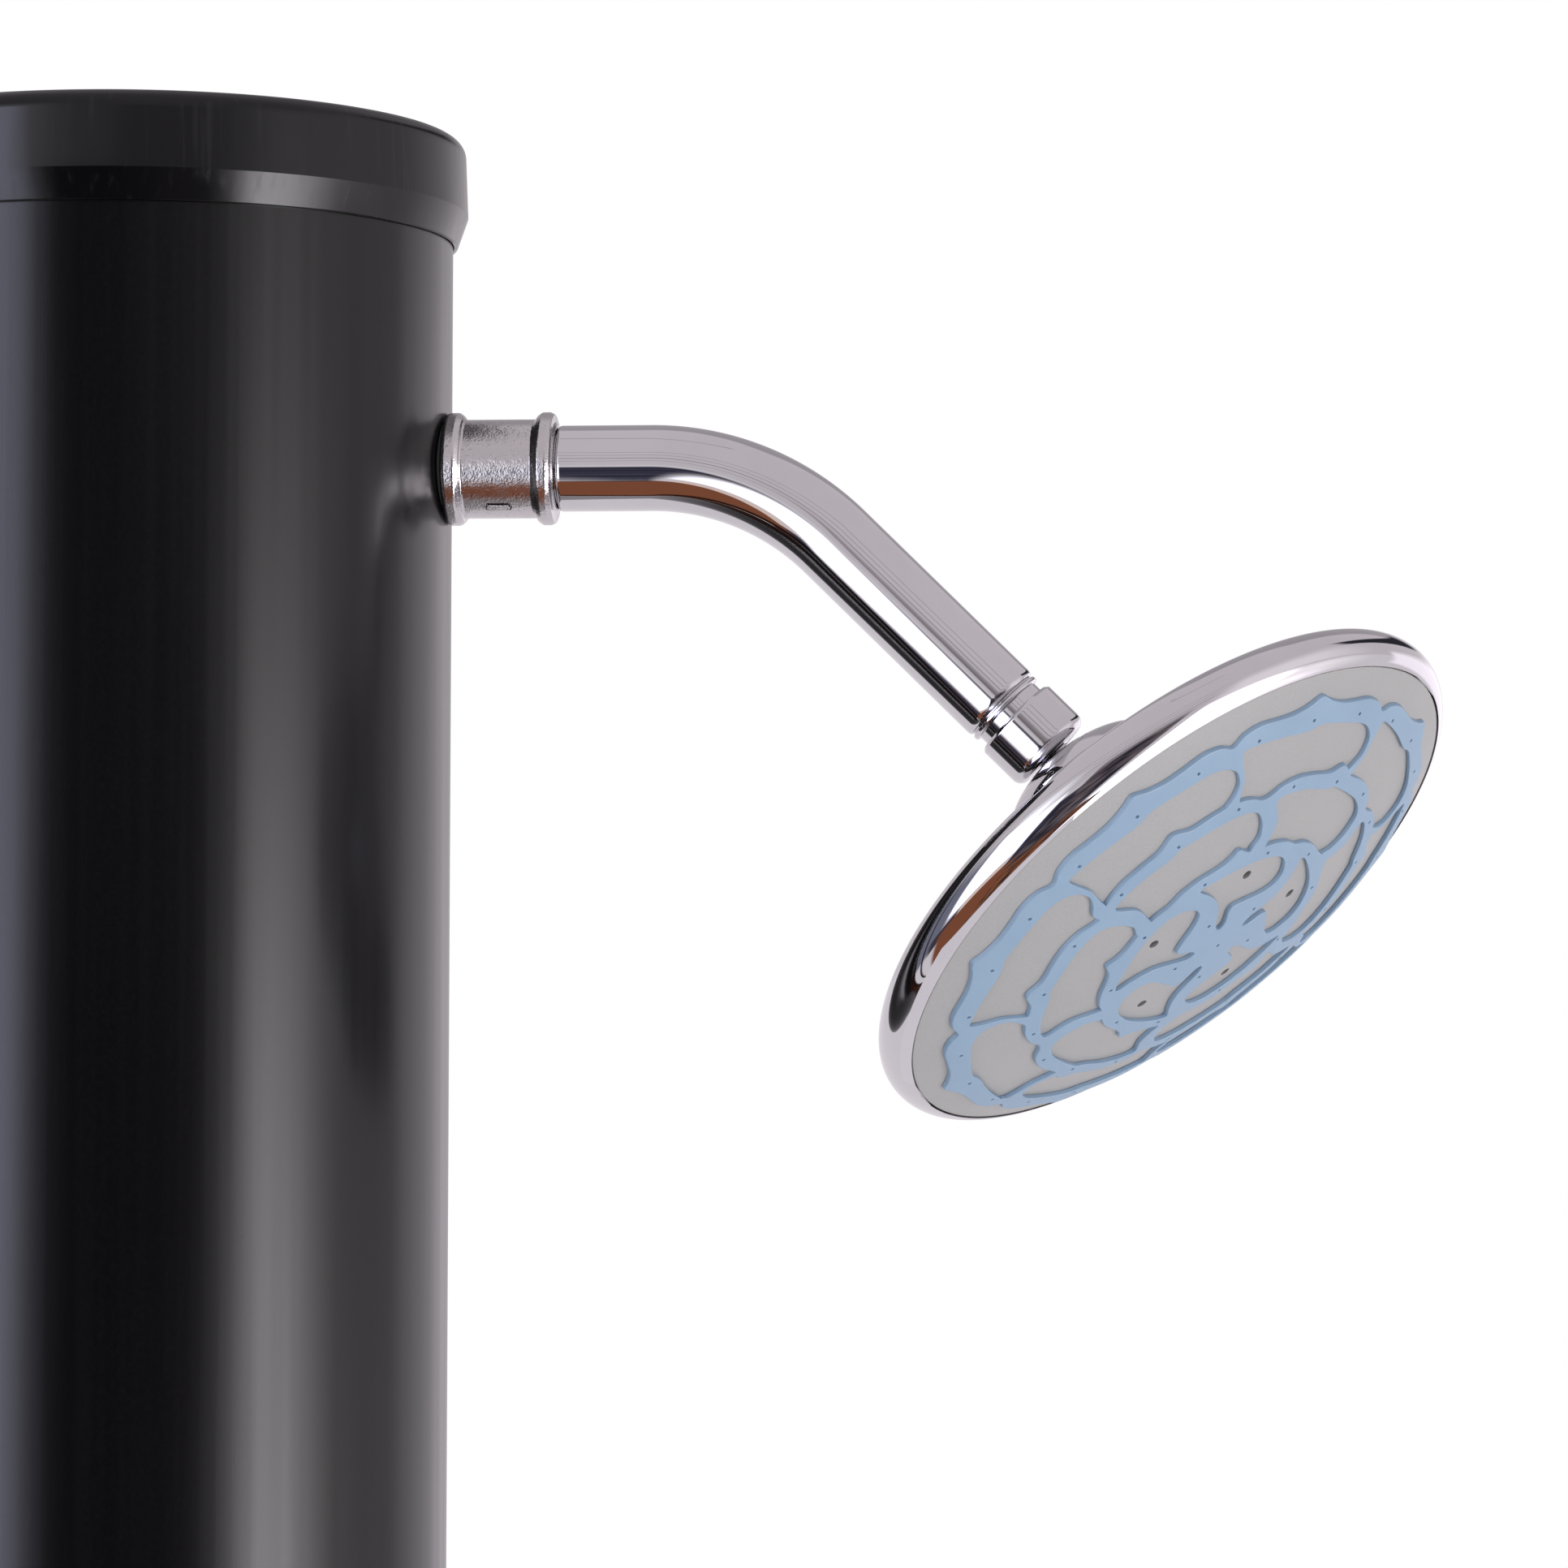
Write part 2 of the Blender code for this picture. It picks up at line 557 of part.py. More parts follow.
def tube_union():
    """The screwed joint between the tubes: a ring glued on each, a seal between them, and the nut."""
    outer = OVER_TUBE + UNION_WALL
    shoulder = outer + UNION_SHOULDER
    face = UNION_HEIGHT
    lower = [
        (outer, face), (outer, face - UNION_SLEEVE), (OVER_TUBE, face - UNION_SLEEVE),
        (OVER_TUBE, face - UNION_LEDGE), (TUBE_BORE, face - UNION_LEDGE), (TUBE_BORE, face),
        (OVER_TUBE - SEAL_GROOVE_DEPTH / 2, face),
        (OVER_TUBE - SEAL_GROOVE_DEPTH / 2, face - SEAL_GROOVE_DEPTH),
        (OVER_TUBE + 3 * SEAL_RADIUS, face - SEAL_GROOVE_DEPTH), (OVER_TUBE + 3 * SEAL_RADIUS, face),
    ]
    gap = 2 * SEAL_RADIUS - SEAL_GROOVE_DEPTH + 2 * SEAT
    start = face + gap
    upper = [
        (outer, face + UNION_SLEEVE), (outer, start + UNION_SHOULDER_HEIGHT),
        (shoulder, start + UNION_SHOULDER_HEIGHT), (shoulder, start), (TUBE_BORE, start),
        (TUBE_BORE, face + UNION_LEDGE), (OVER_TUBE, face + UNION_LEDGE), (OVER_TUBE, face + UNION_SLEEVE),
    ]
    turned("union_lower_ring", lower, UPRIGHT, TANK_STEPS).data.materials.append(BLACK_PLASTIC)
    turned("union_upper_ring", upper, UPRIGHT, TANK_STEPS).data.materials.append(BLACK_PLASTIC)
    middle = (OVER_TUBE + SEAL_RADIUS, face - SEAL_GROOVE_DEPTH + SEAT + SEAL_RADIUS)
    seal = arc(middle, SEAL_RADIUS, 0, 2 * math.pi * 4 / 5, 5)
    turned("union_seal", seal, UPRIGHT, TANK_STEPS).data.materials.append(RUBBER)
    seat = start + UNION_SHOULDER_HEIGHT + SEAT
    nut_outer = shoulder + UNION_NUT_WALL
    nut = [
        (nut_outer, seat + UNION_NUT_LIP), (nut_outer, face - UNION_NUT_SKIRT),
        (outer + SEAT, face - UNION_NUT_SKIRT), (outer + SEAT, start - SEAT),
        (shoulder + SEAT, start - SEAT), (shoulder + SEAT, seat), (outer + SEAT, seat),
        (outer + SEAT, seat + UNION_NUT_LIP),
    ]
    nut_ring = turned("union_nut", nut, UPRIGHT, TANK_STEPS)
    away = nut_outer + UNION_GRIP_RADIUS - UNION_GRIP_DEPTH
    low = face - UNION_NUT_SKIRT - 0.01
    grip = cylinder("union_grips", UNION_GRIP_RADIUS, low, face + 0.04, Matrix.Translation((away, 0, 0)), 8)
    cut(nut_ring, copies_round(made_mesh(grip), UNION_GRIPS, UPRIGHT))
    nut_ring.data.materials.append(BLACK_PLASTIC)


def outlet():
    """The cast socket on the tube, with its gasket, the nipple through the wall and its lock nut."""
    front = SOCKET_START - SEAT
    gasket = saddle(
        "outlet_gasket", SOCKET_RIM_RADIUS - GASKET_INSET, OUTLET_THREAD + SEAT, front, FRONT_OUTLET, ARM_HEIGHT
    )
    gasket.data.materials.append(RUBBER)
    bore = OUTLET_THREAD + SOCKET_THREAD_PLAY
    a = SOCKET_START
    b = a + SOCKET_START_RIM
    c = b + SOCKET_BODY
    d = c + SOCKET_END_RIM
    round_off = SOCKET_RIM_RADIUS - SOCKET_BODY_RADIUS
    socket = [
        (bore, a), (SOCKET_RIM_RADIUS - round_off / 2, a), (SOCKET_RIM_RADIUS, a + SOCKET_START_RIM / 4),
        (SOCKET_RIM_RADIUS, b - SOCKET_START_RIM / 3), (SOCKET_BODY_RADIUS, b), (SOCKET_BODY_RADIUS, c),
        (SOCKET_RIM_RADIUS, c + round_off / 2), (SOCKET_RIM_RADIUS, d - round_off),
        (SOCKET_BODY_RADIUS, d), (bore, d),
    ]
    turned("outlet_socket", socket, FRONT_OUTLET).data.materials.append(CAST_METAL)
    inside = TUBE_BORE - TAIL_LENGTH
    nipple = [
        (NIPPLE_BORE, SOCKET_START + NIPPLE_REACH), (OUTLET_THREAD, SOCKET_START + NIPPLE_REACH),
        (OUTLET_THREAD, inside + 0.010), (HOSE_RADIUS + 0.0015, inside + 0.010), (HOSE_RADIUS + 0.0015, inside),
        (HOSE_TAIL_RADIUS, inside), (HOSE_TAIL_RADIUS, inside + 0.012), (NIPPLE_BORE, inside + 0.012),
    ]
    turned("outlet_nipple", nipple, FRONT_OUTLET, SMALL_STEPS + 4).data.materials.append(BRASS)
    locknut("outlet_locknut", OUTLET_THREAD, FRONT_OUTLET).data.materials.append(BRASS)


def arm_route(start, end):
    """The arm's centre line: a straight run along +X, the bend, and the slanted run."""
    tangent = ARM_BEND_RADIUS * math.tan(ARM_BEND / 2)
    centre = Vector((ARM_CORNER - tangent, 0, ARM_HEIGHT - ARM_BEND_RADIUS))
    bend = [ARM_BEND * i / 9 for i in range(10)]
    turn = [centre + ARM_BEND_RADIUS * Vector((math.sin(t), 0, math.cos(t))) for t in bend]
    return [Vector((start, 0, ARM_HEIGHT)), *turn, ARM_CORNER_POINT + ARM_DIRECTION * end]


def shower_arm():
    start = SOCKET_END + SEAT
    arm = pipe("shower_arm", arm_route(start, ARM_END - ARM_LIP), ARM_RADIUS, 3)
    spigot = cylinder("arm_spigot", OUTLET_THREAD - SEAT, SOCKET_START + NIPPLE_REACH + SEAT, start + 0.002,
                      FRONT_OUTLET)
    lip = [
        (0, ARM_END - 3 * ARM_LIP), (ARM_RADIUS - ARM_LIP, ARM_END - 3 * ARM_LIP),
        (ARM_RADIUS - ARM_LIP / 4, ARM_END - 2 * ARM_LIP), (ARM_RADIUS - ARM_LIP / 4, ARM_END - ARM_LIP / 2),
        (ARM_RADIUS - ARM_LIP, ARM_END), (ARM_SPIGOT_RADIUS, ARM_END),
        (ARM_SPIGOT_RADIUS, ARM_END + ARM_SPIGOT), (0, ARM_END + ARM_SPIGOT),
    ]
    fuse(arm, spigot, turned("arm_lip", lip, along(ARM_DIRECTION, ARM_CORNER_POINT)))
    far = ARM_END + ARM_SPIGOT + 0.01
    cut(arm, pipe("arm_bore", arm_route(SOCKET_START, far), ARM_SPIGOT_RADIUS - ARM_WALL, 3))
    arm.data.materials.append(CHROME)


def swivel():
    """The nut that screws on the arm, with its neck and ball, turned from one bar."""
    back = along(-ARM_DIRECTION, BALL_CENTRE)
    meets = math.asin(NECK_RADIUS / BALL_RADIUS)
    ball = arc((0, 0), BALL_RADIUS, math.pi / 2 - meets, -math.pi / 2 + 0.25, 7)
    thread_end = SWIVEL_NUT_START - SWIVEL_THREAD
    profile = [
        (SWIVEL_BORE, -math.sqrt(BALL_RADIUS**2 - SWIVEL_BORE**2)), *reversed(ball),
        (NECK_RADIUS, SWIVEL_NUT_END), (SWIVEL_NUT_END_RADIUS, SWIVEL_NUT_END),
        (SWIVEL_NUT_RADIUS - 0.0005, SWIVEL_NUT_SHOULDER - 0.0018), (SWIVEL_NUT_RADIUS, SWIVEL_NUT_SHOULDER),
        (SWIVEL_NUT_RADIUS, SWIVEL_NUT_START - 0.0008), (SWIVEL_NUT_RADIUS - 0.0008, SWIVEL_NUT_START),
        (ARM_SPIGOT_RADIUS + SEAT, SWIVEL_NUT_START), (ARM_SPIGOT_RADIUS + SEAT, thread_end - 0.003),
        (SWIVEL_BORE, thread_end - 0.003),
    ]
    turned("swivel_ball", profile, back).data.materials.append(CHROME)


def sphere_arc(radius, start, end, count):
    """An arc of a sphere at the ball's centre, by angle from the head's axis toward the arm."""
    steps = [start + (end - start) * i / (count - 1) for i in range(count)]
    return [(radius * math.sin(math.radians(t)), -radius * math.cos(math.radians(t))) for t in steps]


def ball_rings():
    """The seat that hugs the ball, and the ring that keeps both in the hub."""
    outside = SEAT_SPHERE + SEAT_THICKNESS
    seat = [*sphere_arc(SEAT_SPHERE, 52, 120, 5), *sphere_arc(outside, 120, 52, 5)]
    turned("ball_seat", seat, HEAD, BALL_STEPS, SEAT_PIVOT).data.materials.append(WHITE_PLASTIC)
    first = 90 + math.degrees(math.asin(2 * SEAT / CAVITY_SPHERE))
    last = 180 - math.degrees(math.asin(RETAINER_HOLE / CAVITY_SPHERE))
    inside = sphere_arc(CAVITY_SPHERE, first, last, 4)
    retainer = [
        *inside, (RETAINER_HOLE, RETAINER_HEIGHT), (RETAINER_RADIUS, RETAINER_HEIGHT),
        (RETAINER_RADIUS, inside[0][1]),
    ]
    turned("ball_retainer", retainer, HEAD, BALL_STEPS, TILT_PIVOT).data.materials.append(WHITE_PLASTIC)


def head_shell():
    rim_centre = (PLATE_RADIUS - RIM_INSET, PLATE_PLANE - RIM_SETBACK)
    rim_back = rim_centre[1] - RIM_RADIUS
    rim = arc(rim_centre, RIM_RADIUS, -math.pi / 2, RIM_LIP_ANGLE, 7)
    hub_start = math.asin(HUB_MOUTH / HUB_RADIUS)
    hub_end = math.asin(HUB_FOOT / HUB_RADIUS)
    hub = []
    for i in range(5):
        at = hub_start + (hub_end - hub_start) * i / 4
        hub.append((HUB_RADIUS * math.sin(at), HUB_CENTRE - HUB_RADIUS * math.cos(at)))
    root = HUB_FOOT + HUB_FILLET
    span = rim_centre[0] - root
    # The back falls from the hub's root to the rim along a quarter of a wave.
    back = [
        (root + span * t, rim_back - BACK_DROP * (1 - math.sin(t * math.pi / 2)))
        for t in (0, 0.25, 0.6)
    ]
    lip = PLATE_RADIUS + PLATE_PLAY
    ledge = PLATE_PLANE - PLATE_EDGE - GASKET_RING_THICKNESS - 2 * SEAT
    inside = [(r, z + SHELL_WALL) for r, z in (back[-1], back[0])]
    mouth = sphere_arc(CAVITY_SPHERE, 89, 44, 4)
    profile = [
        *hub, *back, *rim, (lip, ledge), (CHAMBER_RADIUS, ledge), (CHAMBER_RADIUS, rim_back + SHELL_WALL),
        *inside, (RETAINER_RADIUS + SEAT, BORE_DEPTH), (RETAINER_RADIUS + SEAT, SEAT), (CAVITY_SPHERE, SEAT),
        *mouth,
    ]
    turned("head_shell", profile, HEAD, HEAD_STEPS, SPIN_PIVOT).data.materials.append(CHROME)


def dome(radius, sphere=PLATE_SPHERE):
    """Height of the face's dome above the ball's centre, at a distance from the head's axis."""
    return PLATE_SPHERE_CENTRE + math.sqrt(sphere**2 - radius**2)


def polar(radius, degrees):
    return (radius * MM * math.cos(math.radians(degrees)), radius * MM * math.sin(math.radians(degrees)))


def ring_of_holes(name, count, radius, first, hole_radius, sides, low, high):
    """Round holes evenly spaced about the head's axis, as one cutter."""
    outlines = []
    for i in range(count):
        x, y = polar(radius, first + 360 * i / count)
        turn = [2 * math.pi * k / sides for k in range(sides)]
        outlines.append([(x + hole_radius * MM * math.cos(t), y + hole_radius * MM * math.sin(t)) for t in turn])
    return prism(name, outlines, low, high, HEAD)


def face_plate():
    low = PLATE_PLANE - PLATE_EDGE
    inner_sphere = PLATE_SPHERE - PLATE_THICKNESS
    lip = PLATE_RADIUS - PLATE_LIP
    shares = (0, 0.25, 0.5, 0.75, 1)
    outer = [(PLATE_RADIUS * s, dome(PLATE_RADIUS * s)) for s in shares]
    inner = [(lip * s, dome(lip * s, inner_sphere)) for s in reversed(shares)]
    plate = turned("face_plate", [*outer, (PLATE_RADIUS, low), (lip, low), *inner], HEAD, HEAD_STEPS, SPIN_PIVOT)
    count, radius, first = PLATE_HOLES
    floor = dome(radius * MM) - PLATE_HOLE_DEPTH
    cut(plate, ring_of_holes("plate_holes", count, radius, first, PLATE_HOLE_RADIUS, 8, floor, floor + 0.01))
    plate.data.materials.append(PLATE_GREY)


def rosette(half_edge, petals):
    """A closed outline of petals from half of one petal's edge, mirrored about its tip."""
    count, first_tip = petals
    falling = half_edge[1:]
    petal = [(-angle, radius) for angle, radius in reversed(falling[:-1])] + list(half_edge)
    return [polar(r, first_tip + 360 * i / count + a) for i in range(count) for a, r in petal]


def cells(outline, petals):
    count, first_tip = petals
    return [[polar(r, first_tip + 360 * i / count + a) for a, r in outline] for i in range(count)]


def nozzle_mat():
    """The soft net on the face: three rosettes of petals, each over the one outside it, with pinholes."""
    mat = prism("nozzle_mat", [rosette(OUTER_EDGE, OUTER_PETALS)], 0, MAT_HEIGHT, HEAD)
    low = -MAT_HEIGHT
    high = 2 * MAT_HEIGHT
    outer = prism("outer_cells", cells(OUTER_CELL, OUTER_PETALS), low, high, HEAD)
    cut(outer, prism("middle_rosette", [rosette(MIDDLE_EDGE, MIDDLE_PETALS)], 2 * low, 2 * high, HEAD))
    middle = prism("middle_cells", cells(MIDDLE_CELL, MIDDLE_PETALS), low, high, HEAD)
    cut(middle, prism("inner_rosette", [rosette(INNER_EDGE, INNER_PETALS)], 2 * low, 2 * high, HEAD))
    hole = PLATE_HOLES[2]
    inner = prism("inner_cells", cells(INNER_CELL, (INNER_PETALS[0], hole)), low, high, HEAD)
    cut(mat, outer, middle, inner)
    for i, (count, radius, first) in enumerate(NOZZLE_RINGS):
        name = f"nozzles_{i}"
        cut(mat, ring_of_holes(name, count, radius, first, NOZZLE_RADIUS, NOZZLE_SIDES, low, high))
    mat = made_mesh(mat)
    lay_on_dome(mat.data)
    mat.parent = SPIN_PIVOT
    mat.matrix_parent_inverse = SPIN_PIVOT.matrix_world.inverted()
    mat.data.materials.append(MAT_BLUE)


def lay_on_dome(mesh):
    """Lifts a flat net onto the face's dome, on the shortest triangles its points allow."""
    bm = bmesh.new()
    bm.from_mesh(mesh)
    bmesh.ops.triangulate(bm, faces=bm.faces)
    flat = [edge for edge in bm.edges if edge.calc_face_angle(math.pi) < FLAT]
    bmesh.ops.beautify_fill(bm, faces=bm.faces, edges=flat)
    for vertex in bm.verts:
        vertex.co.z += dome(math.hypot(vertex.co.x, vertex.co.y)) + MAT_GAP
    bm.to_mesh(mesh)
    bm.free()


def chamber_seal():
    low = PLATE_PLANE - PLATE_EDGE - GASKET_RING_THICKNESS - SEAT
    outer = CHAMBER_RADIUS + SEAT + GASKET_RING_WIDTH
    profile = ring(outer, CHAMBER_RADIUS + SEAT, low, low + GASKET_RING_THICKNESS)
    turned("chamber_seal", profile, HEAD, HEAD_STEPS, SPIN_PIVOT).data.materials.append(RUBBER)


def mixer_fixed():
    """The mixer's fixed pieces: rosette, body with hose tails, lock nut, cartridge, its nut and the cover."""
    shank_hole = MIXER_SHANK_RADIUS + SEAT
    edge = ROSETTE_RADIUS - ROSETTE_EDGE
    dish = [
        (shank_hole, ROSETTE_FRONT), (edge - 0.002, ROSETTE_FRONT), (edge + 0.001, ROSETTE_FRONT - 0.001),
        (ROSETTE_RADIUS, ROSETTE_FRONT - 0.004), (ROSETTE_RADIUS, ROSETTE_BACK), (shank_hole, ROSETTE_BACK),
    ]
    plate = turned("mixer_rosette", dish, FRONT_MIXER, MIXER_STEPS)
    cut(plate, tank_space("rosette_tank", MIXER_HEIGHT))
    plate.data.materials.append(CHROME)

    front = ROSETTE_FRONT + SEAT
    bore = CARTRIDGE_RADIUS + SEAT
    floor = MIXER_PIVOT - CARTRIDGE_DEPTH - SEAT
    inside = TUBE_BORE - 0.016
    body = [
        (0, inside), (MIXER_SHANK_RADIUS, inside), (MIXER_SHANK_RADIUS, front), (MIXER_RADIUS, front),
        (MIXER_RADIUS, MIXER_NECK_START), (MIXER_NECK_RADIUS, MIXER_NECK_START),
        (MIXER_NECK_RADIUS, MIXER_END), (bore, MIXER_END), (bore, floor), (0, floor),
    ]
    shell = turned("mixer_body", body, FRONT_MIXER, MIXER_STEPS)
    for i, (y, z) in enumerate(TAIL_PLACES):
        place = along((1, 0, 0), (0, y, MIXER_HEIGHT + z))
        fuse(shell, cylinder(f"mixer_tail_{i}", HOSE_TAIL_RADIUS, TUBE_BORE - TAIL_LENGTH, inside + 0.002, place,
                             SMALL_STEPS))
    shell.data.materials.append(CHROME)
    locknut("mixer_locknut", MIXER_SHANK_RADIUS, FRONT_MIXER).data.materials.append(BRASS)

    top = MIXER_PIVOT + 0.002
    cup = CARTRIDGE_RADIUS - CARTRIDGE_WALL
    carrier_foot = MIXER_PIVOT - CARRIER_BELOW
    cartridge = [
        (0, floor + SEAT), (CARTRIDGE_RADIUS, floor + SEAT), (CARTRIDGE_RADIUS, top), (cup, top),
        (cup, carrier_foot - SEAT), (0, carrier_foot - SEAT),
    ]
    turned("mixer_cartridge", cartridge, FRONT_MIXER).data.materials.append(WHITE_PLASTIC)
    nut = ring(CARTRIDGE_RADIUS, CARTRIDGE_RADIUS - 0.0022, top + SEAT, MIXER_END)
    turned("cartridge_nut", nut, FRONT_MIXER).data.materials.append(BRASS)

    skirt = MIXER_NECK_START + SEAT
    inner = MIXER_RADIUS - COVER_WALL
    hole_out = math.acos(COVER_HOLE / MIXER_RADIUS)
    hole_in = math.acos(COVER_HOLE / inner)
    pivot = (0, MIXER_PIVOT)
    lift = math.asin((MIXER_END + SEAT - MIXER_PIVOT) / inner)
    cover = [
        (MIXER_RADIUS, skirt), *arc(pivot, MIXER_RADIUS, 0, hole_out, 5), *arc(pivot, inner, hole_in, lift, 3),
        (MIXER_NECK_RADIUS + SEAT, MIXER_END + SEAT), (MIXER_NECK_RADIUS + SEAT, skirt),
    ]
    turned("mixer_cover", cover, FRONT_MIXER, MIXER_STEPS).data.materials.append(CHROME)


def mixer_moving():
    """The carrier that turns in the cartridge, and the lever with its stem, screw and index plug."""
    cup = (CARTRIDGE_RADIUS - CARTRIDGE_WALL) * math.cos(math.pi / FITTING_STEPS) - SEAT
    foot = MIXER_PIVOT - CARRIER_BELOW
    bore = STEM_BALL_RADIUS + SEAT
    floor = MIXER_PIVOT - bore
    carrier = [
        (0, foot), (cup, foot), (cup, MIXER_PIVOT + CARRIER_ABOVE), (bore, MIXER_PIVOT + CARRIER_ABOVE),
        (bore, floor), (0, floor),
    ]
    turned("mixer_carrier", carrier, FRONT_MIXER, parent=TURN_PIVOT).data.materials.append(WHITE_PLASTIC)

    inner = COVER_ROOM
    stem_end = MIXER_RADIUS
    meets = math.acos(STEM_RADIUS / STEM_BALL_RADIUS)
    stem = [
        *arc((0, 0), STEM_BALL_RADIUS, -math.pi / 2, meets, 7), (STEM_RADIUS, stem_end),
        (SCREW_SHANK_RADIUS + SEAT, stem_end), (SCREW_SHANK_RADIUS + SEAT, stem_end - STEM_SCREW_HOLE),
        (0, stem_end - STEM_SCREW_HOLE),
    ]
    stem[0] = (0, -STEM_BALL_RADIUS)
    turned("lever_stem", stem, LEVER, SMALL_STEPS + 4, LIFT_PIVOT).data.materials.append(BRASS)

    outer = inner + LEVER_SHELL
    rim = math.pi / 2 - LEVER_COVERS
    crown = arc((0, 0), outer, rim, math.pi / 2, 6)[:-1]
    hollow = arc((0, 0), inner, math.pi / 2, rim, 6)[1:]
    recess = PLUG_RADIUS + SEAT
    recess_floor = math.sqrt(outer**2 - recess**2) - PLUG_THICKNESS
    head_floor = recess_floor - SCREW_HEAD - SEAT
    shank = SCREW_SHANK_RADIUS + SEAT
    profile = [
        *[p for p in crown if p[0] > recess], (recess, recess_floor + PLUG_THICKNESS), (recess, recess_floor),
        (SCREW_HEAD_RADIUS + SEAT, recess_floor), (SCREW_HEAD_RADIUS + SEAT, head_floor), (shank, head_floor),
        (shank, math.sqrt(inner**2 - shank**2)), *hollow,
    ]
    handle = turned("mixer_lever", profile, LEVER, MIXER_STEPS, LIFT_PIVOT)
    half = LEVER_WIDTH / 2
    tip = LEVER_TIP_WIDTH / 2
    end = LEVER_LENGTH - tip
    rounded = arc((end, 0), tip, -math.pi / 2, math.pi / 2, 7)
    outline = [(inner * math.cos(rim) * 0.8, -half), *rounded, (inner * math.cos(rim) * 0.8, half)]
    low = inner * math.sin(rim) - LEVER_THICKNESS / 4
    blade = prism("lever_blade", [outline], low, low + LEVER_THICKNESS, LEVER)
    hollow_ball = turned("lever_hollow", [(0, -inner), *arc((0, 0), inner, -1.4, 1.4, 12), (0, inner)], LEVER, MIXER_STEPS)
    cut(blade, hollow_ball)
    fuse(handle, blade)
    handle.data.materials.append(CHROME)

    screw = [
        (0, recess_floor - SEAT), (SCREW_HEAD_RADIUS, recess_floor - SEAT), (SCREW_HEAD_RADIUS, head_floor + SEAT / 2),
        (SCREW_SHANK_RADIUS, head_floor + SEAT / 2), (SCREW_SHANK_RADIUS, stem_end - STEM_SCREW_HOLE + SEAT),
        (0, stem_end - STEM_SCREW_HOLE + SEAT),
    ]
    turned("lever_screw", screw, LEVER, SMALL_STEPS, LIFT_PIVOT).data.materials.append(BRASS)
    plug = [
        (0, recess_floor + PLUG_THICKNESS + 0.0004), (PLUG_RADIUS - 0.0008, recess_floor + PLUG_THICKNESS + 0.0003),
        (PLUG_RADIUS, recess_floor + PLUG_THICKNESS - 0.0002), (PLUG_RADIUS, recess_floor + SEAT),
        (0, recess_floor + SEAT),
    ]
    turned("index_plug", plug, LEVER, SMALL_STEPS + 4, LIFT_PIVOT).data.materials.append(WHITE_PLASTIC)


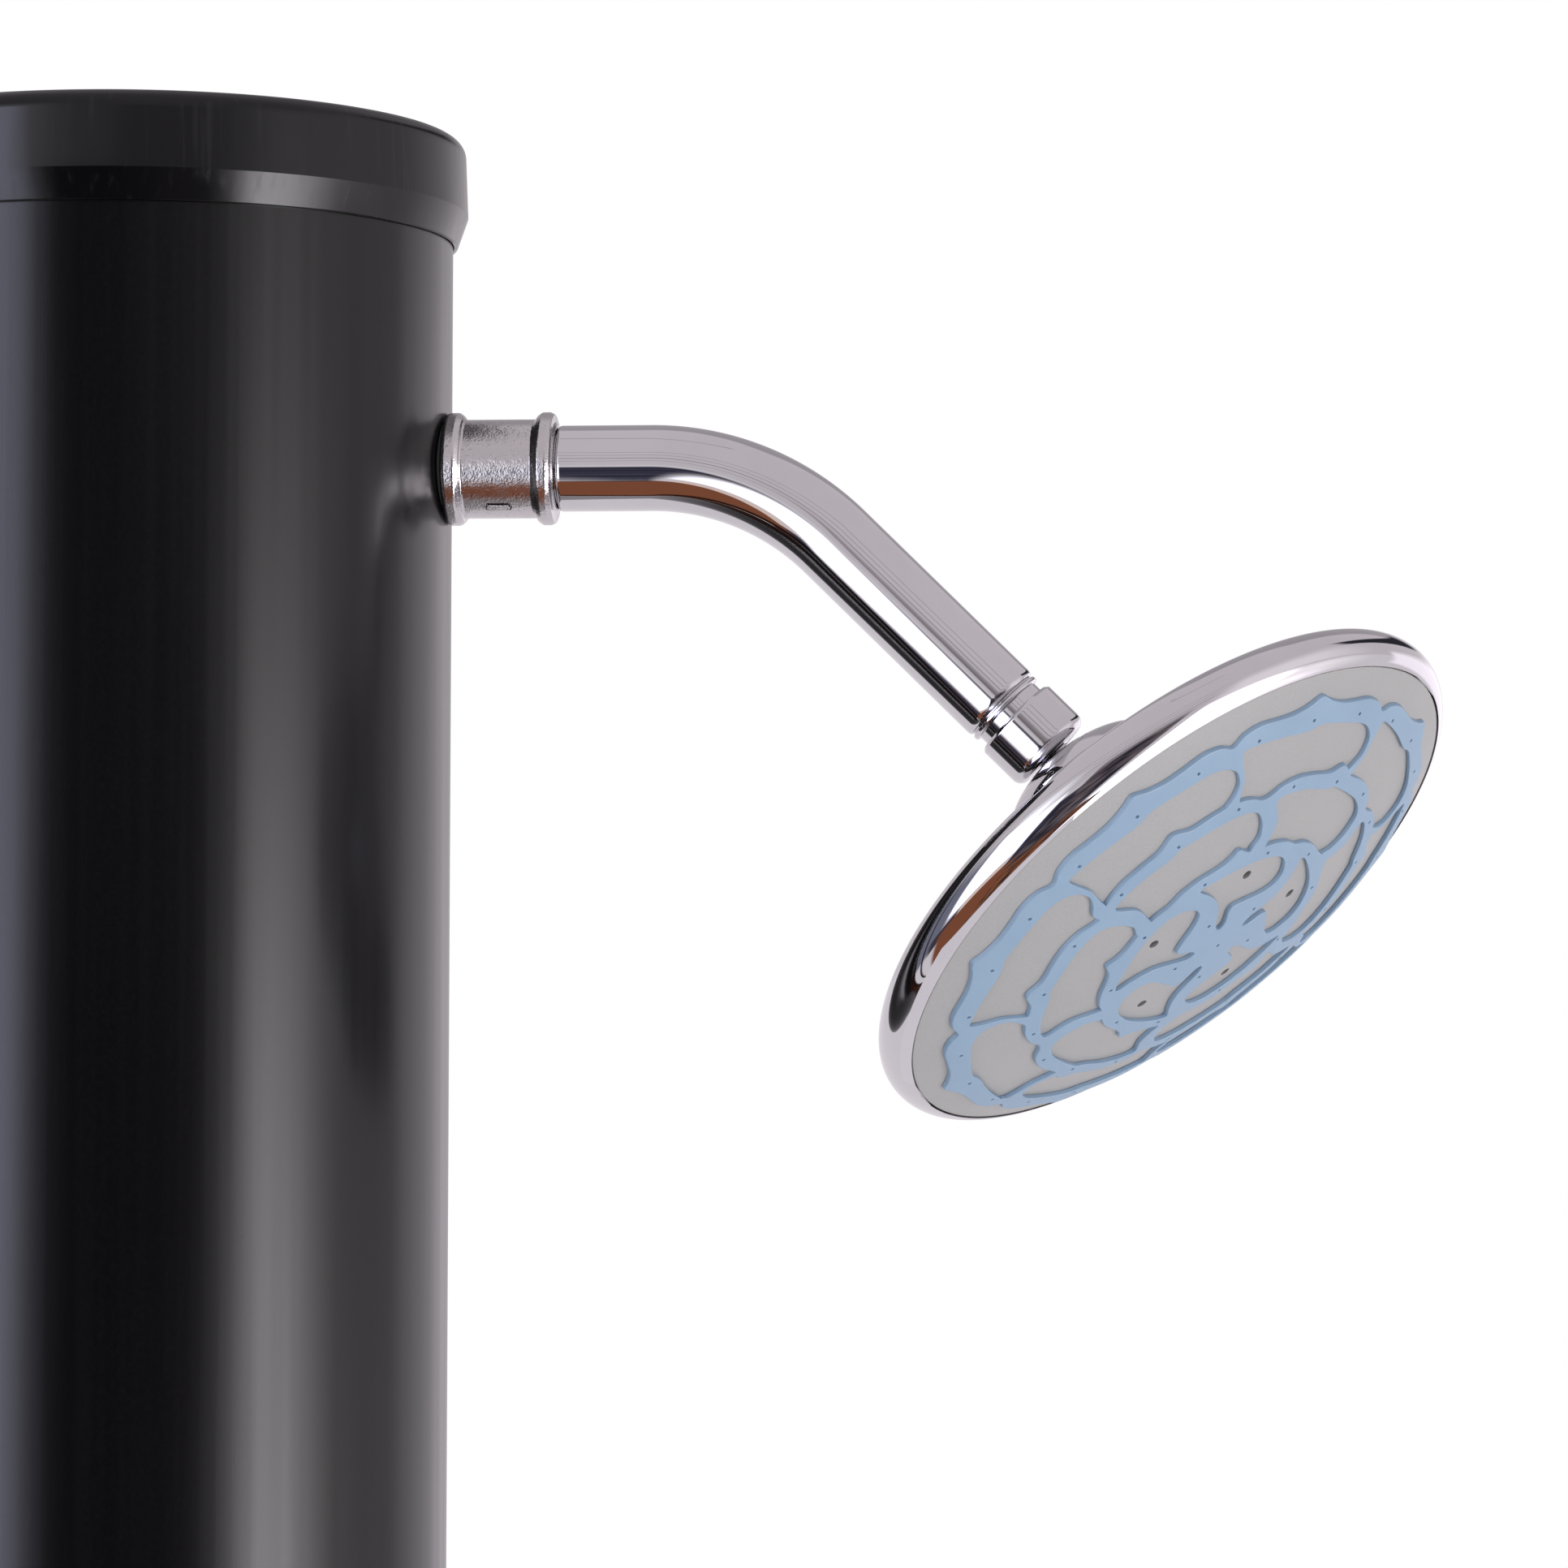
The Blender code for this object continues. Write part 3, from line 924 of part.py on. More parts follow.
def foot_tap():
    front = OVER_TUBE + GASKET_EDGE
    gasket = saddle(
        "foot_tap_gasket", FOOT_TAP_FLANGE - GASKET_INSET, FOOT_TAP_THREAD + SEAT, front - SEAT, FRONT_FOOT_TAP,
        FOOT_TAP_HEIGHT,
    )
    gasket.data.materials.append(RUBBER)
    nose = FOOT_TAP_STEM + FOOT_TAP_BOSS
    body = [
        (0, TUBE_BORE - 0.016), (FOOT_TAP_THREAD, TUBE_BORE - 0.016), (FOOT_TAP_THREAD, front),
        (FOOT_TAP_FLANGE, front), (FOOT_TAP_FLANGE, front + FOOT_TAP_FLANGE_THICKNESS - 0.001),
        (FOOT_TAP_FLANGE - 0.002, front + FOOT_TAP_FLANGE_THICKNESS),
        (FOOT_TAP_BARREL, front + FOOT_TAP_FLANGE_THICKNESS), (FOOT_TAP_BARREL, nose), (0, nose),
    ]
    tap = turned("foot_tap_body", body, FRONT_FOOT_TAP)
    boss_place = Matrix.Translation((FOOT_TAP_STEM, 0, FOOT_TAP_HEIGHT))
    boss = cylinder("foot_tap_boss", FOOT_TAP_BOSS, 0, FOOT_TAP_BOSS_TOP, boss_place)
    mouth_x = FOOT_TAP_STEM + SPOUT_REACH
    mouth_z = FOOT_TAP_HEIGHT - SPOUT_DROP
    route = smooth_route(
        [
            (FOOT_TAP_STEM, 0, FOOT_TAP_HEIGHT), (mouth_x - 0.012, 0, FOOT_TAP_HEIGHT - 0.001),
            (mouth_x - 0.001, 0, FOOT_TAP_HEIGHT - 0.014), (mouth_x, 0, mouth_z),
        ],
        3,
    )
    spout = pipe("foot_tap_spout", route, SPOUT_RADIUS, 2)
    bore_place = Matrix.Translation((mouth_x, 0, mouth_z))
    fuse(tap, boss, spout)
    spindle_bore = cylinder("spindle_bore", SPINDLE_RADIUS + SEAT, SPINDLE_FOOT - SEAT, FOOT_TAP_BOSS_TOP + 0.01,
                            boss_place, SMALL_STEPS)
    cut(tap, cylinder("spout_bore", SPOUT_BORE, -0.01, SPOUT_BORE_DEPTH, bore_place, SMALL_STEPS), spindle_bore)
    tap.data.materials.append(CHROME)
    locknut("foot_tap_locknut", FOOT_TAP_THREAD, FRONT_FOOT_TAP).data.materials.append(BRASS)

    low = FOOT_TAP_BOSS_TOP + SEAT
    high = low + FOOT_TAP_BONNET
    across = 1 / math.cos(math.pi / HEX)
    bonnet = ring(FOOT_TAP_BONNET_RADIUS, (SPINDLE_RADIUS + SEAT) * across, low, high)
    turned("foot_tap_bonnet", bonnet, boss_place, HEX).data.materials.append(CHROME)

    top = high + SEAT + HANDLE_HEIGHT
    hub = [
        (SPINDLE_RADIUS + SEAT, high + SEAT), (HANDLE_HUB, high + SEAT), (HANDLE_HUB, top - 0.002),
        (HANDLE_HUB - 0.002, top), (SPINDLE_RADIUS + SEAT, top),
    ]
    handle = turned("foot_tap_handle", hub, boss_place, parent=TAP_PIVOT)
    half = HANDLE_WIDTH / 2
    end = HANDLE_LENGTH - half
    start = SPINDLE_RADIUS + 0.002
    outline = [(half * 0.7, start), (half, HANDLE_HUB), *arc((0, end), half, 0, math.pi, 7), (-half, HANDLE_HUB),
               (-half * 0.7, start)]
    low_wing = high + SEAT + (HANDLE_HEIGHT - HANDLE_THICKNESS) / 2
    fuse(handle, prism("handle_wing", [outline], low_wing, low_wing + HANDLE_THICKNESS, boss_place))
    handle.data.materials.append(CHROME)
    spindle = cylinder("foot_tap_spindle", SPINDLE_RADIUS, SPINDLE_FOOT, top, boss_place, SMALL_STEPS)
    spindle.parent = TAP_PIVOT
    spindle.matrix_parent_inverse = TAP_PIVOT.matrix_world.inverted()
    spindle.data.materials.append(BRASS)


def hose_inlet():
    front = OVER_TUBE + GASKET_EDGE
    gasket = saddle(
        "inlet_gasket", INLET_FLANGE - GASKET_INSET, INLET_THREAD + SEAT, front - SEAT, BACK_INLET, INLET_HEIGHT
    )
    gasket.data.materials.append(RUBBER)
    end = front + INLET_FLANGE_THICKNESS + INLET_THREAD_LENGTH
    inside = TUBE_BORE - TAIL_LENGTH
    fitting = [
        (INLET_BORE, end), (INLET_THREAD, end), (INLET_THREAD, front + INLET_FLANGE_THICKNESS),
        (INLET_FLANGE, front + INLET_FLANGE_THICKNESS), (INLET_FLANGE, front), (INLET_THREAD, front),
        (INLET_THREAD, TUBE_BORE - 0.016), (HOSE_RADIUS + 0.0015, TUBE_BORE - 0.016),
        (HOSE_RADIUS + 0.0015, inside), (HOSE_TAIL_RADIUS, inside), (HOSE_TAIL_RADIUS, inside + 0.012),
        (INLET_BORE, inside + 0.012),
    ]
    turned("inlet_fitting", fitting, BACK_INLET).data.materials.append(BRASS)
    locknut("inlet_locknut", INLET_THREAD, BACK_INLET).data.materials.append(BRASS)
    start = front + INLET_FLANGE_THICKNESS + SEAT
    collar_end = start + CONNECTOR_COLLAR_LENGTH
    nose_end = collar_end + CONNECTOR_NOSE_LENGTH
    groove = collar_end + CONNECTOR_NOSE_LENGTH / 2
    connector = [
        (CONNECTOR_COLLAR, start), (CONNECTOR_COLLAR, collar_end - 0.002), (CONNECTOR_COLLAR - 0.002, collar_end),
        (CONNECTOR_NOSE, collar_end), (CONNECTOR_NOSE, groove - 0.003),
        (CONNECTOR_NOSE - CONNECTOR_GROOVE, groove - 0.002), (CONNECTOR_NOSE - CONNECTOR_GROOVE, groove + 0.001),
        (CONNECTOR_NOSE, groove + 0.002), (CONNECTOR_NOSE, nose_end - 0.003), (CONNECTOR_NOSE - 0.002, nose_end),
        (INLET_BORE - 0.001, nose_end), (INLET_BORE - 0.001, end + SEAT), (INLET_THREAD + SEAT, end + SEAT),
        (INLET_THREAD + SEAT, start),
    ]
    turned("inlet_connector", connector, BACK_INLET).data.materials.append(BLACK_PLASTIC)


def drain():
    front = OVER_TUBE + GASKET_EDGE
    gasket = saddle(
        "drain_gasket", DRAIN_FLANGE - GASKET_INSET, DRAIN_THREAD + SEAT, front - SEAT, SIDE_DRAIN, DRAIN_HEIGHT
    )
    gasket.data.materials.append(RUBBER)
    flange_end = front + DRAIN_FLANGE_THICKNESS
    bore = DRAIN_PLUG_THREAD + SEAT
    bush = [
        (bore, flange_end), (DRAIN_FLANGE, flange_end), (DRAIN_FLANGE, front), (DRAIN_THREAD, front),
        (DRAIN_THREAD, TUBE_BORE - 0.014), (bore, TUBE_BORE - 0.014),
    ]
    turned("drain_bush", bush, SIDE_DRAIN).data.materials.append(BLACK_PLASTIC)
    locknut("drain_locknut", DRAIN_THREAD, SIDE_DRAIN).data.materials.append(BLACK_PLASTIC)
    head = flange_end + SEAT
    plug = turned(
        "drain_plug",
        [(0, head), (0, head + DRAIN_HEAD_THICKNESS), (DRAIN_HEAD, head + DRAIN_HEAD_THICKNESS), (DRAIN_HEAD, head)],
        SIDE_DRAIN, HEX,
    )
    fuse(plug, cylinder("drain_plug_thread", DRAIN_PLUG_THREAD, head - DRAIN_PLUG_LENGTH, head + 0.002, SIDE_DRAIN,
                        SMALL_STEPS))
    plug.data.materials.append(BLACK_PLASTIC)


def hoses():
    """Inside the tank: cold water to the mixer, hot water from the tank's top to it, and mixed water to the arm."""
    tail = TUBE_BORE - TAIL_LENGTH - SEAT
    cold, hot, mixed = [(y, MIXER_HEIGHT + z) for y, z in TAIL_PLACES]
    cold_route = [
        (-tail, 0, INLET_HEIGHT), (-tail + 0.012, 0, INLET_HEIGHT), (-0.010, -0.006, INLET_HEIGHT + 0.020),
        (-0.006, -0.014, INLET_HEIGHT + 0.080), (-0.006, -0.018, UNION_HEIGHT),
        (0.000, -0.016, cold[1] - 0.060), (0.010, cold[0] - 0.004, cold[1] - 0.018),
        (tail - 0.014, *cold), (tail, *cold),
    ]
    hot_route = [
        (tail, *hot), (tail - 0.014, *hot), (0.008, hot[0] + 0.006, hot[1] + 0.020),
        (-0.004, 0.022, hot[1] + 0.080), (-0.004, 0.024, HEIGHT - 0.100), (-0.004, 0.024, HEIGHT - 0.030),
    ]
    mixed_route = [
        (tail, *mixed), (tail - 0.014, *mixed), (0.012, -0.004, mixed[1] + 0.020), (0.006, -0.012, mixed[1] + 0.080),
        (0.006, -0.014, ARM_HEIGHT - 0.080), (0.010, -0.006, ARM_HEIGHT - 0.022),
        (tail - 0.014, 0, ARM_HEIGHT), (tail, 0, ARM_HEIGHT),
    ]
    for name, route in (
        ("cold_riser_hose", cold_route), ("hot_pickup_pipe", hot_route), ("shower_riser_hose", mixed_route)
    ):
        pipe(name, smooth_route(route, 3), HOSE_RADIUS, 1).data.materials.append(HOSE_WHITE)


def pivot(name, place, parent=None):
    """An empty on a joint's axis, which the moving pieces hang on."""
    empty = bpy.data.objects.new(name, None)
    PARTS.objects.link(empty)
    empty.matrix_world = place
    if parent is not None:
        empty.parent = parent
        empty.matrix_parent_inverse = parent.matrix_world.inverted()
    bpy.context.view_layer.update()
    return empty


def head_place():
    """The head's frame: its origin is the ball's centre, its Z axis the way the face looks."""
    outward = Vector(HEAD_DIRECTION).normalized()
    level = outward.cross(Vector((0, 0, 1))).normalized()
    turn = Matrix((level, outward.cross(level), outward)).transposed()
    return Matrix.Translation(BALL_CENTRE) @ turn.to_4x4()


def smooth_shading():
    """Round sides shade smooth, and edges past 35 degrees stay sharp."""
    for obj in PARTS.objects:
        if obj.type == "MESH" and obj.data.polygons:
            obj.data.shade_smooth()
            obj.data.set_sharp_from_angle(angle=math.radians(35))


for old in list(bpy.data.objects):
    bpy.data.objects.remove(old)

PARTS = new_collection("solar_shower")
CUTTERS = new_collection("cutters")

TANK_BLACK = material("tank_black_pvc", (0.017, 0.018, 0.021), 0.42)
CAP_BLACK = material("cap_gloss_black", (0.011, 0.012, 0.014), 0.16)
BLACK_PLASTIC = material("black_plastic", (0.016, 0.016, 0.017), 0.50)
WHITE_PLASTIC = material("white_plastic", (0.78, 0.78, 0.76), 0.40)
HOSE_WHITE = material("hose_white", (0.72, 0.74, 0.74), 0.45)
RUBBER = material("black_rubber", (0.012, 0.012, 0.012), 0.75)
CHROME = material("chrome", (0.80, 0.80, 0.81), 0.06, 1.0)
CAST_METAL = material("cast_nickel", (0.48, 0.47, 0.44), 0.42, 1.0)
BRASS = material("brass", (0.68, 0.48, 0.20), 0.30, 1.0)
PLATE_GREY = material("face_plate_grey", (0.41, 0.40, 0.41), 0.55)
MAT_BLUE = material("nozzle_mat_blue", (0.33, 0.48, 0.66), 0.60)

FRONT_OUTLET = along((1, 0, 0), (0, 0, ARM_HEIGHT))
FRONT_MIXER = along((1, 0, 0), (0, 0, MIXER_HEIGHT))
FRONT_FOOT_TAP = along((1, 0, 0), (0, 0, FOOT_TAP_HEIGHT))
BACK_INLET = along((-1, 0, 0), (0, 0, INLET_HEIGHT))
SIDE_DRAIN = along((0, 1, 0), (0, 0, DRAIN_HEIGHT))
# Hose tails of the mixer: cold, hot and mixed, as (y, height from the mixer's axis)
TAIL_PLACES = (
    (-HOSE_TAIL_SPREAD, -HOSE_TAIL_SPREAD * 0.8),
    (HOSE_TAIL_SPREAD, -HOSE_TAIL_SPREAD * 0.8),
    (0, HOSE_TAIL_SPREAD),
)
HEAD = head_place()
LEVER_SPOT = Matrix.Translation((MIXER_PIVOT, 0, MIXER_HEIGHT))
# The lever's Z axis looks along +X and its X axis hangs down, where the blade lies.
LEVER = LEVER_SPOT @ Matrix.Rotation(math.pi / 2, 4, "Y")

SEAT_PIVOT = pivot("head_turn_axis", along(ARM_DIRECTION, BALL_CENTRE))
TILT_PIVOT = pivot("head_tilt_axis", HEAD, SEAT_PIVOT)
SPIN_PIVOT = pivot("head_spin_axis", HEAD, TILT_PIVOT)
TURN_PIVOT = pivot("mixer_turn_axis", LEVER_SPOT)
LIFT_PIVOT = pivot("mixer_lift_axis", LEVER_SPOT, TURN_PIVOT)
TAP_PIVOT = pivot("foot_tap_axis", Matrix.Translation((FOOT_TAP_STEM, 0, FOOT_TAP_HEIGHT)))

base_plate()
bottom_closure()
tubes()
end_cap()
tube_union()
outlet()
shower_arm()
swivel()
ball_rings()
head_shell()
chamber_seal()
face_plate()
nozzle_mat()
mixer_fixed()
mixer_moving()
foot_tap()
hose_inlet()
drain()
hoses()
smooth_shading()
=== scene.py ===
"""Looks of a free-standing solar shower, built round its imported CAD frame.

Metres, +Z up, the shower arm along +X. Sizes repeat the CAD's, so each fine piece lies where its solid is;
only the hub's dome, the outlet socket and its gasket, the arm's start and the net lie up to 1.3 mm off
theirs, to follow the photograph.
"""

import json
import math

import bmesh
import bpy
from mathutils import Matrix, Vector
from mathutils.geometry import delaunay_2d_cdt

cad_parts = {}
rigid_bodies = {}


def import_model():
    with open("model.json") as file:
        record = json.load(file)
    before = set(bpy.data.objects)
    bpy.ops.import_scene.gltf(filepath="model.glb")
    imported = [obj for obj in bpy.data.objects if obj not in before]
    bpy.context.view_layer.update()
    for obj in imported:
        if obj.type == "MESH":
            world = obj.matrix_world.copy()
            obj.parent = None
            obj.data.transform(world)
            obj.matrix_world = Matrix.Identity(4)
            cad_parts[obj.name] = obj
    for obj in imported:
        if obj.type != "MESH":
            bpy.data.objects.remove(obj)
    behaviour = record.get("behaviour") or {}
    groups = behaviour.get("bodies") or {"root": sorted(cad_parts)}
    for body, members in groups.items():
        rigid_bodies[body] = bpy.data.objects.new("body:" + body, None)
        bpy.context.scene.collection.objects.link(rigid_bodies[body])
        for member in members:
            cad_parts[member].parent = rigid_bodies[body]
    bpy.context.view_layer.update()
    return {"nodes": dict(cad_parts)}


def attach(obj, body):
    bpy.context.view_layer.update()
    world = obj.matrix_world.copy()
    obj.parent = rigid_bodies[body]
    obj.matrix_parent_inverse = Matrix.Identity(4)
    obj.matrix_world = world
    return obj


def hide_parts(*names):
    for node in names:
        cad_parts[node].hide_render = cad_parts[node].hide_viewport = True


for leftover in list(bpy.data.objects):
    bpy.data.objects.remove(leftover)

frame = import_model()
SCENE = bpy.context.scene

# Tank, base and union
HEIGHT = 2.170
TUBE_RADIUS = 0.080
TUBE_BORE = 0.076
SEAT = 0.0003  # clearance where one piece seats on another
OVER_TUBE = TUBE_RADIUS + SEAT
UNION_HEIGHT = 0.890
TUBE_END = 0.008  # how far from the union's middle both tubes end
BASE_RADIUS = 0.170
BASE_THICKNESS = 0.010
COLLAR_RADIUS = 0.0883
COLLAR_HEIGHT = 0.070
BOLT_CIRCLE_RADIUS = 0.140
BOLTS = 4
RIBS = 8
CAP_FLAT = 0.0786  # the radius at which the cap's flat top ends
CAP_EDGE = 0.0047  # the rounding of its top edge
CAP_THICKNESS = 0.0065
CAP_DEPTH = 0.0274

# Arm, socket and swivel
ARM_HEIGHT = 2.0839
ARM_RADIUS = 0.0110
ARM_CORNER = Vector((0.1599, 0, ARM_HEIGHT))
ARM_BEND = math.radians(44.4)
ARM_BEND_RADIUS = 0.067
ARM_DIRECTION = Vector((math.cos(ARM_BEND), 0, -math.sin(ARM_BEND)))
ARM_END = 0.0890
ARM_START = 0.1087  # from the tank's axis
BARREL_RADIUS = 0.01265  # the socket between its beads
BEAD_RADIUS = 0.01445
TAB_MIDDLE = 0.0940  # the mould's tab, from the tank's axis
TAB_ANGLE = math.radians(-55)  # and round the socket, from the front
BALL_CENTRE = ARM_CORNER + ARM_DIRECTION * (ARM_END + 0.0310)
BALL_RADIUS = 0.0105

# Head, along its own axis from the ball's centre
PLATE_PLANE = 0.0355
PLATE_RADIUS = 0.0809
PLATE_CROWN = 0.0156
PLATE_SPHERE = (PLATE_RADIUS**2 + PLATE_CROWN**2) / (2 * PLATE_CROWN)
PLATE_SPHERE_CENTRE = PLATE_PLANE + PLATE_CROWN - PLATE_SPHERE
PLATE_THICKNESS = 0.0025
PLATE_HOLES = 5
PLATE_HOLE_RING = 0.0244
FIRST_PLATE_HOLE = 6.9  # degrees
PLATE_HOLE_RADIUS = 0.00132
PLATE_HOLE_DEPTH = 0.0022
RIM_RADIUS = 0.0065
RIM_INSET = 0.0018
RIM_SETBACK = 0.0059
BACK_DROP = 0.0105  # how far the back's root at the hub stands behind the rim's back
HUB_RADIUS = 0.0299
HUB_SWELL = 0.0013  # how far the photographed dome stands over a plain sphere
HUB_CENTRE = 0.0166
HUB_MOUTH = 21.4  # degrees from the head's axis
HUB_SWEEP = 45.5  # and on from there to the dome's foot

# Fittings lower down
MIXER_HEIGHT = 1.150
MIXER_PIVOT = 0.1200
FOOT_TAP_HEIGHT = 0.300
FOOT_TAP_STEM = 0.1060
INLET_HEIGHT = 0.135
DRAIN_HEIGHT = 0.112
GASKET_FRONT = OVER_TUBE + 0.0009
BEHIND_WALL = 0.070  # well inside the tube's wall: what sits on the tube starts there and is cut to its shape
COVER_RADIUS = 0.0250  # the mixer's ball cover
COVER_BORE = 0.0230
LEVER_RADIUS = 0.0306
LEVER_BORE = 0.0259

# Fineness of turned pieces: sides round a full turn
FINE = 192
ROUND = 96
SMALL = 48
COARSE = 32
CORNER_SPANS = 5  # of a rounded corner in a section
SHARP = math.radians(32)  # edges that turn more than this stay sharp


def along(direction, point):
    """A place at a point of the world, with its Z axis along a direction."""
    turn = Vector(direction).to_track_quat("Z", "Y").to_matrix().to_4x4()
    return Matrix.Translation(point) @ turn


def head_place():
    """The head's frame: its origin is the ball's centre, its Z axis the way the face looks."""
    outward = Vector((0.5987, -0.3333, -0.7283)).normalized()
    level = outward.cross(Vector((0, 0, 1))).normalized()
    turn = Matrix((level, outward.cross(level), outward)).transposed().to_4x4()
    return Matrix.Translation(BALL_CENTRE) @ turn


UPRIGHT = Matrix.Identity(4)
HEAD = head_place()
BACK_ALONG_ARM = along(-ARM_DIRECTION, BALL_CENTRE)
FRONT_OUTLET = along((1, 0, 0), (0, 0, ARM_HEIGHT))
FRONT_MIXER = along((1, 0, 0), (0, 0, MIXER_HEIGHT))
FRONT_FOOT_TAP = along((1, 0, 0), (0, 0, FOOT_TAP_HEIGHT))
TAP_STEM = Matrix.Translation((FOOT_TAP_STEM, 0, FOOT_TAP_HEIGHT))
BACK_INLET = along((-1, 0, 0), (0, 0, INLET_HEIGHT))
SIDE_DRAIN = along((0, 1, 0), (0, 0, DRAIN_HEIGHT))
# The lever's Z axis looks along +X and its X axis hangs down, where the blade lies.
LEVER = Matrix.Translation((MIXER_PIVOT, 0, MIXER_HEIGHT)) @ Matrix.Rotation(math.pi / 2, 4, "Y")


# Mesh making

def arc(centre, radius, start, end, count):
    """Points of an arc in a section, by angle in degrees from the outward direction."""
    steps = [math.radians(start + (end - start) * i / (count - 1)) for i in range(count)]
    return [(centre[0] + radius * math.cos(t), centre[1] + radius * math.sin(t)) for t in steps]


def rounded(section):
    """A closed section whose (radius, height, fillet) corners are rounded off."""
    points = []
    for i, corner in enumerate(section):
        here = Vector(corner[:2])
        if len(corner) == 2:
            points.append(here)
            continue
        back = Vector(section[i - 1][:2]) - here
        on = Vector(section[(i + 1) % len(section)][:2]) - here
        half = back.angle(on) / 2
        reach = min(corner[2] / math.tan(half), back.length * 0.49, on.length * 0.49)
        u = back.normalized()
        v = on.normalized()
        centre = here + (u + v).normalized() * (reach / math.cos(half))
        first = here + u * reach - centre
        last = here + v * reach - centre
        swing = first.angle(last)
        if swing < 1e-3:
            points.append(here)
            continue
        for k in range(CORNER_SPANS + 1):
            t = k / CORNER_SPANS
            turned = first * math.sin((1 - t) * swing) + last * math.sin(t * swing)
            points.append(centre + turned / math.sin(swing))
    return [tuple(p) for p in points]


def hexagon(corner_radius):
    """The outline of a hexagon bar, as the distance from its axis at an angle."""
    flat = corner_radius * math.cos(math.pi / 6)
    return lambda angle: flat / math.cos(angle % (math.pi / 3) - math.pi / 6)


def scallops(radius, count, depth, share=0.5):
    """The outline of a grip with hollows round it, as the distance from its axis at an angle."""
    def outline(angle):
        phase = (angle * count / (2 * math.pi)) % 1
        inside = max(0.0, 1 - abs(phase - 0.5) / (share / 2))
        return radius - depth * math.sin(inside * math.pi / 2) ** 2
    return outline


def turned_mesh(name, section, place, steps=ROUND, outline=None):
    """A closed section of (radius, height) points, spun about the place's Z axis and cut to an outline."""
    bm = bmesh.new()
    rings = []
    for radius, height in section:
        if radius < 1e-7:
            rings.append([bm.verts.new(place @ Vector((0, 0, height)))] * steps)
            continue
        ring = []
        for i in range(steps):
            angle = 2 * math.pi * i / steps
            out = radius if outline is None else min(radius, outline(angle))
            ring.append(bm.verts.new(place @ Vector((out * math.cos(angle), out * math.sin(angle), height))))
        rings.append(ring)
    for lower, upper in zip(rings, rings[1:] + rings[:1]):
        for i in range(steps):
            k = (i + 1) % steps
            corners = list(dict.fromkeys((lower[i], lower[k], upper[k], upper[i])))
            if len(corners) > 2:
                bm.faces.new(corners)
    return finished_mesh(name, bm)


def smoothed(mesh):
    """The mesh with round sides shaded smooth and its edges sharp."""
    mesh.shade_smooth()
    mesh.set_sharp_from_angle(angle=SHARP)
    return mesh


def mesh_of(name, bm):
    """What was built, as a mesh."""
    mesh = bpy.data.meshes.new(name)
    bm.to_mesh(mesh)
    bm.free()
    return mesh


def finished_mesh(name, bm, merge=1e-7):
    """Merges what lies on itself, turns every face outward and shades round sides smooth."""
    bmesh.ops.remove_doubles(bm, verts=bm.verts, dist=merge)
    bmesh.ops.dissolve_degenerate(bm, edges=bm.edges, dist=merge)
    bmesh.ops.recalc_face_normals(bm, faces=bm.faces)
    return smoothed(mesh_of(name, bm))


def as_object(mesh):
    """A mesh or a curve as an object of the scene."""
    obj = bpy.data.objects.new(mesh.name, mesh)
    SCENE.collection.objects.link(obj)
    return obj


def dropped(obj):
    """Removes an object and its own mesh or curve."""
    data = obj.data
    bpy.data.objects.remove(obj)
    if isinstance(data, bpy.types.Mesh):
        bpy.data.meshes.remove(data)
    else:
        bpy.data.curves.remove(data)


def evaluated(obj):
    """The object's mesh with its modifiers done, as a plain mesh; the object goes."""
    bpy.context.view_layer.update()
    mesh = bpy.data.meshes.new_from_object(obj.evaluated_get(bpy.context.evaluated_depsgraph_get()))
    name = obj.name
    dropped(obj)
    mesh.name = name
    return mesh


def cut(mesh, *cutters, operation="DIFFERENCE"):
    """The mesh after other meshes are cut from it or joined to it."""
    target = as_object(mesh)
    helpers = [as_object(other) for other in cutters]
    for helper in helpers:
        step = target.modifiers.new("Cut", "BOOLEAN")
        step.operation = operation
        step.solver = "EXACT"
        step.object = helper
    made = evaluated(target)
    for helper in helpers:
        dropped(helper)
    return smoothed(made)


def joined(name, *meshes):
    """Several meshes as one piece with separate bodies."""
    bm = bmesh.new()
    for mesh in meshes:
        bm.from_mesh(mesh)
        bpy.data.meshes.remove(mesh)
    return smoothed(mesh_of(name, bm))


def skinned(bm, rings):
    """Faces from each ring of vertices to the next."""
    for low, high in zip(rings, rings[1:]):
        for i in range(len(low)):
            k = (i + 1) % len(low)
            bm.faces.new((low[i], low[k], high[k], high[i]))


def lofted_mesh(name, rings):
    """A closed skin over rings of points, each with as many points, capped at both ends."""
    bm = bmesh.new()
    skins = [[bm.verts.new(p) for p in ring] for ring in rings]
    skinned(bm, skins)
    bm.faces.new(skins[0])
    bm.faces.new(skins[-1])
    return finished_mesh(name, bm)


def piece(mesh, body, finish, slot, *stands_for):
    """A finished piece of the shower: its material, the body it rides on and the solids it stands for."""
    mesh.materials.clear()
    mesh.materials.append(finish)
    rough = as_object(mesh)
    step = rough.modifiers.new("Even shading", "WEIGHTED_NORMAL")
    step.keep_sharp = True
    obj = as_object(evaluated(rough))
    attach(obj, body)
    if stands_for:
        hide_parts(*stands_for)
    return obj


def turned_piece(name, section, place, steps, finish, slot, stands_for, outline=None):
    """A turned piece of the column, with the corners of its section rounded off."""
    piece(turned_mesh(name, rounded(section), place, steps, outline), "column", finish, slot, stands_for)


def tank_space(height):
    """The room that the tank's tube takes about a height, which is cut from what sits on the tube."""
    low = height - 0.06
    high = height + 0.06
    section = [(0, low), (0, high), (OVER_TUBE, high), (OVER_TUBE, low)]
    return turned_mesh("tank_space", section, UPRIGHT, FINE)


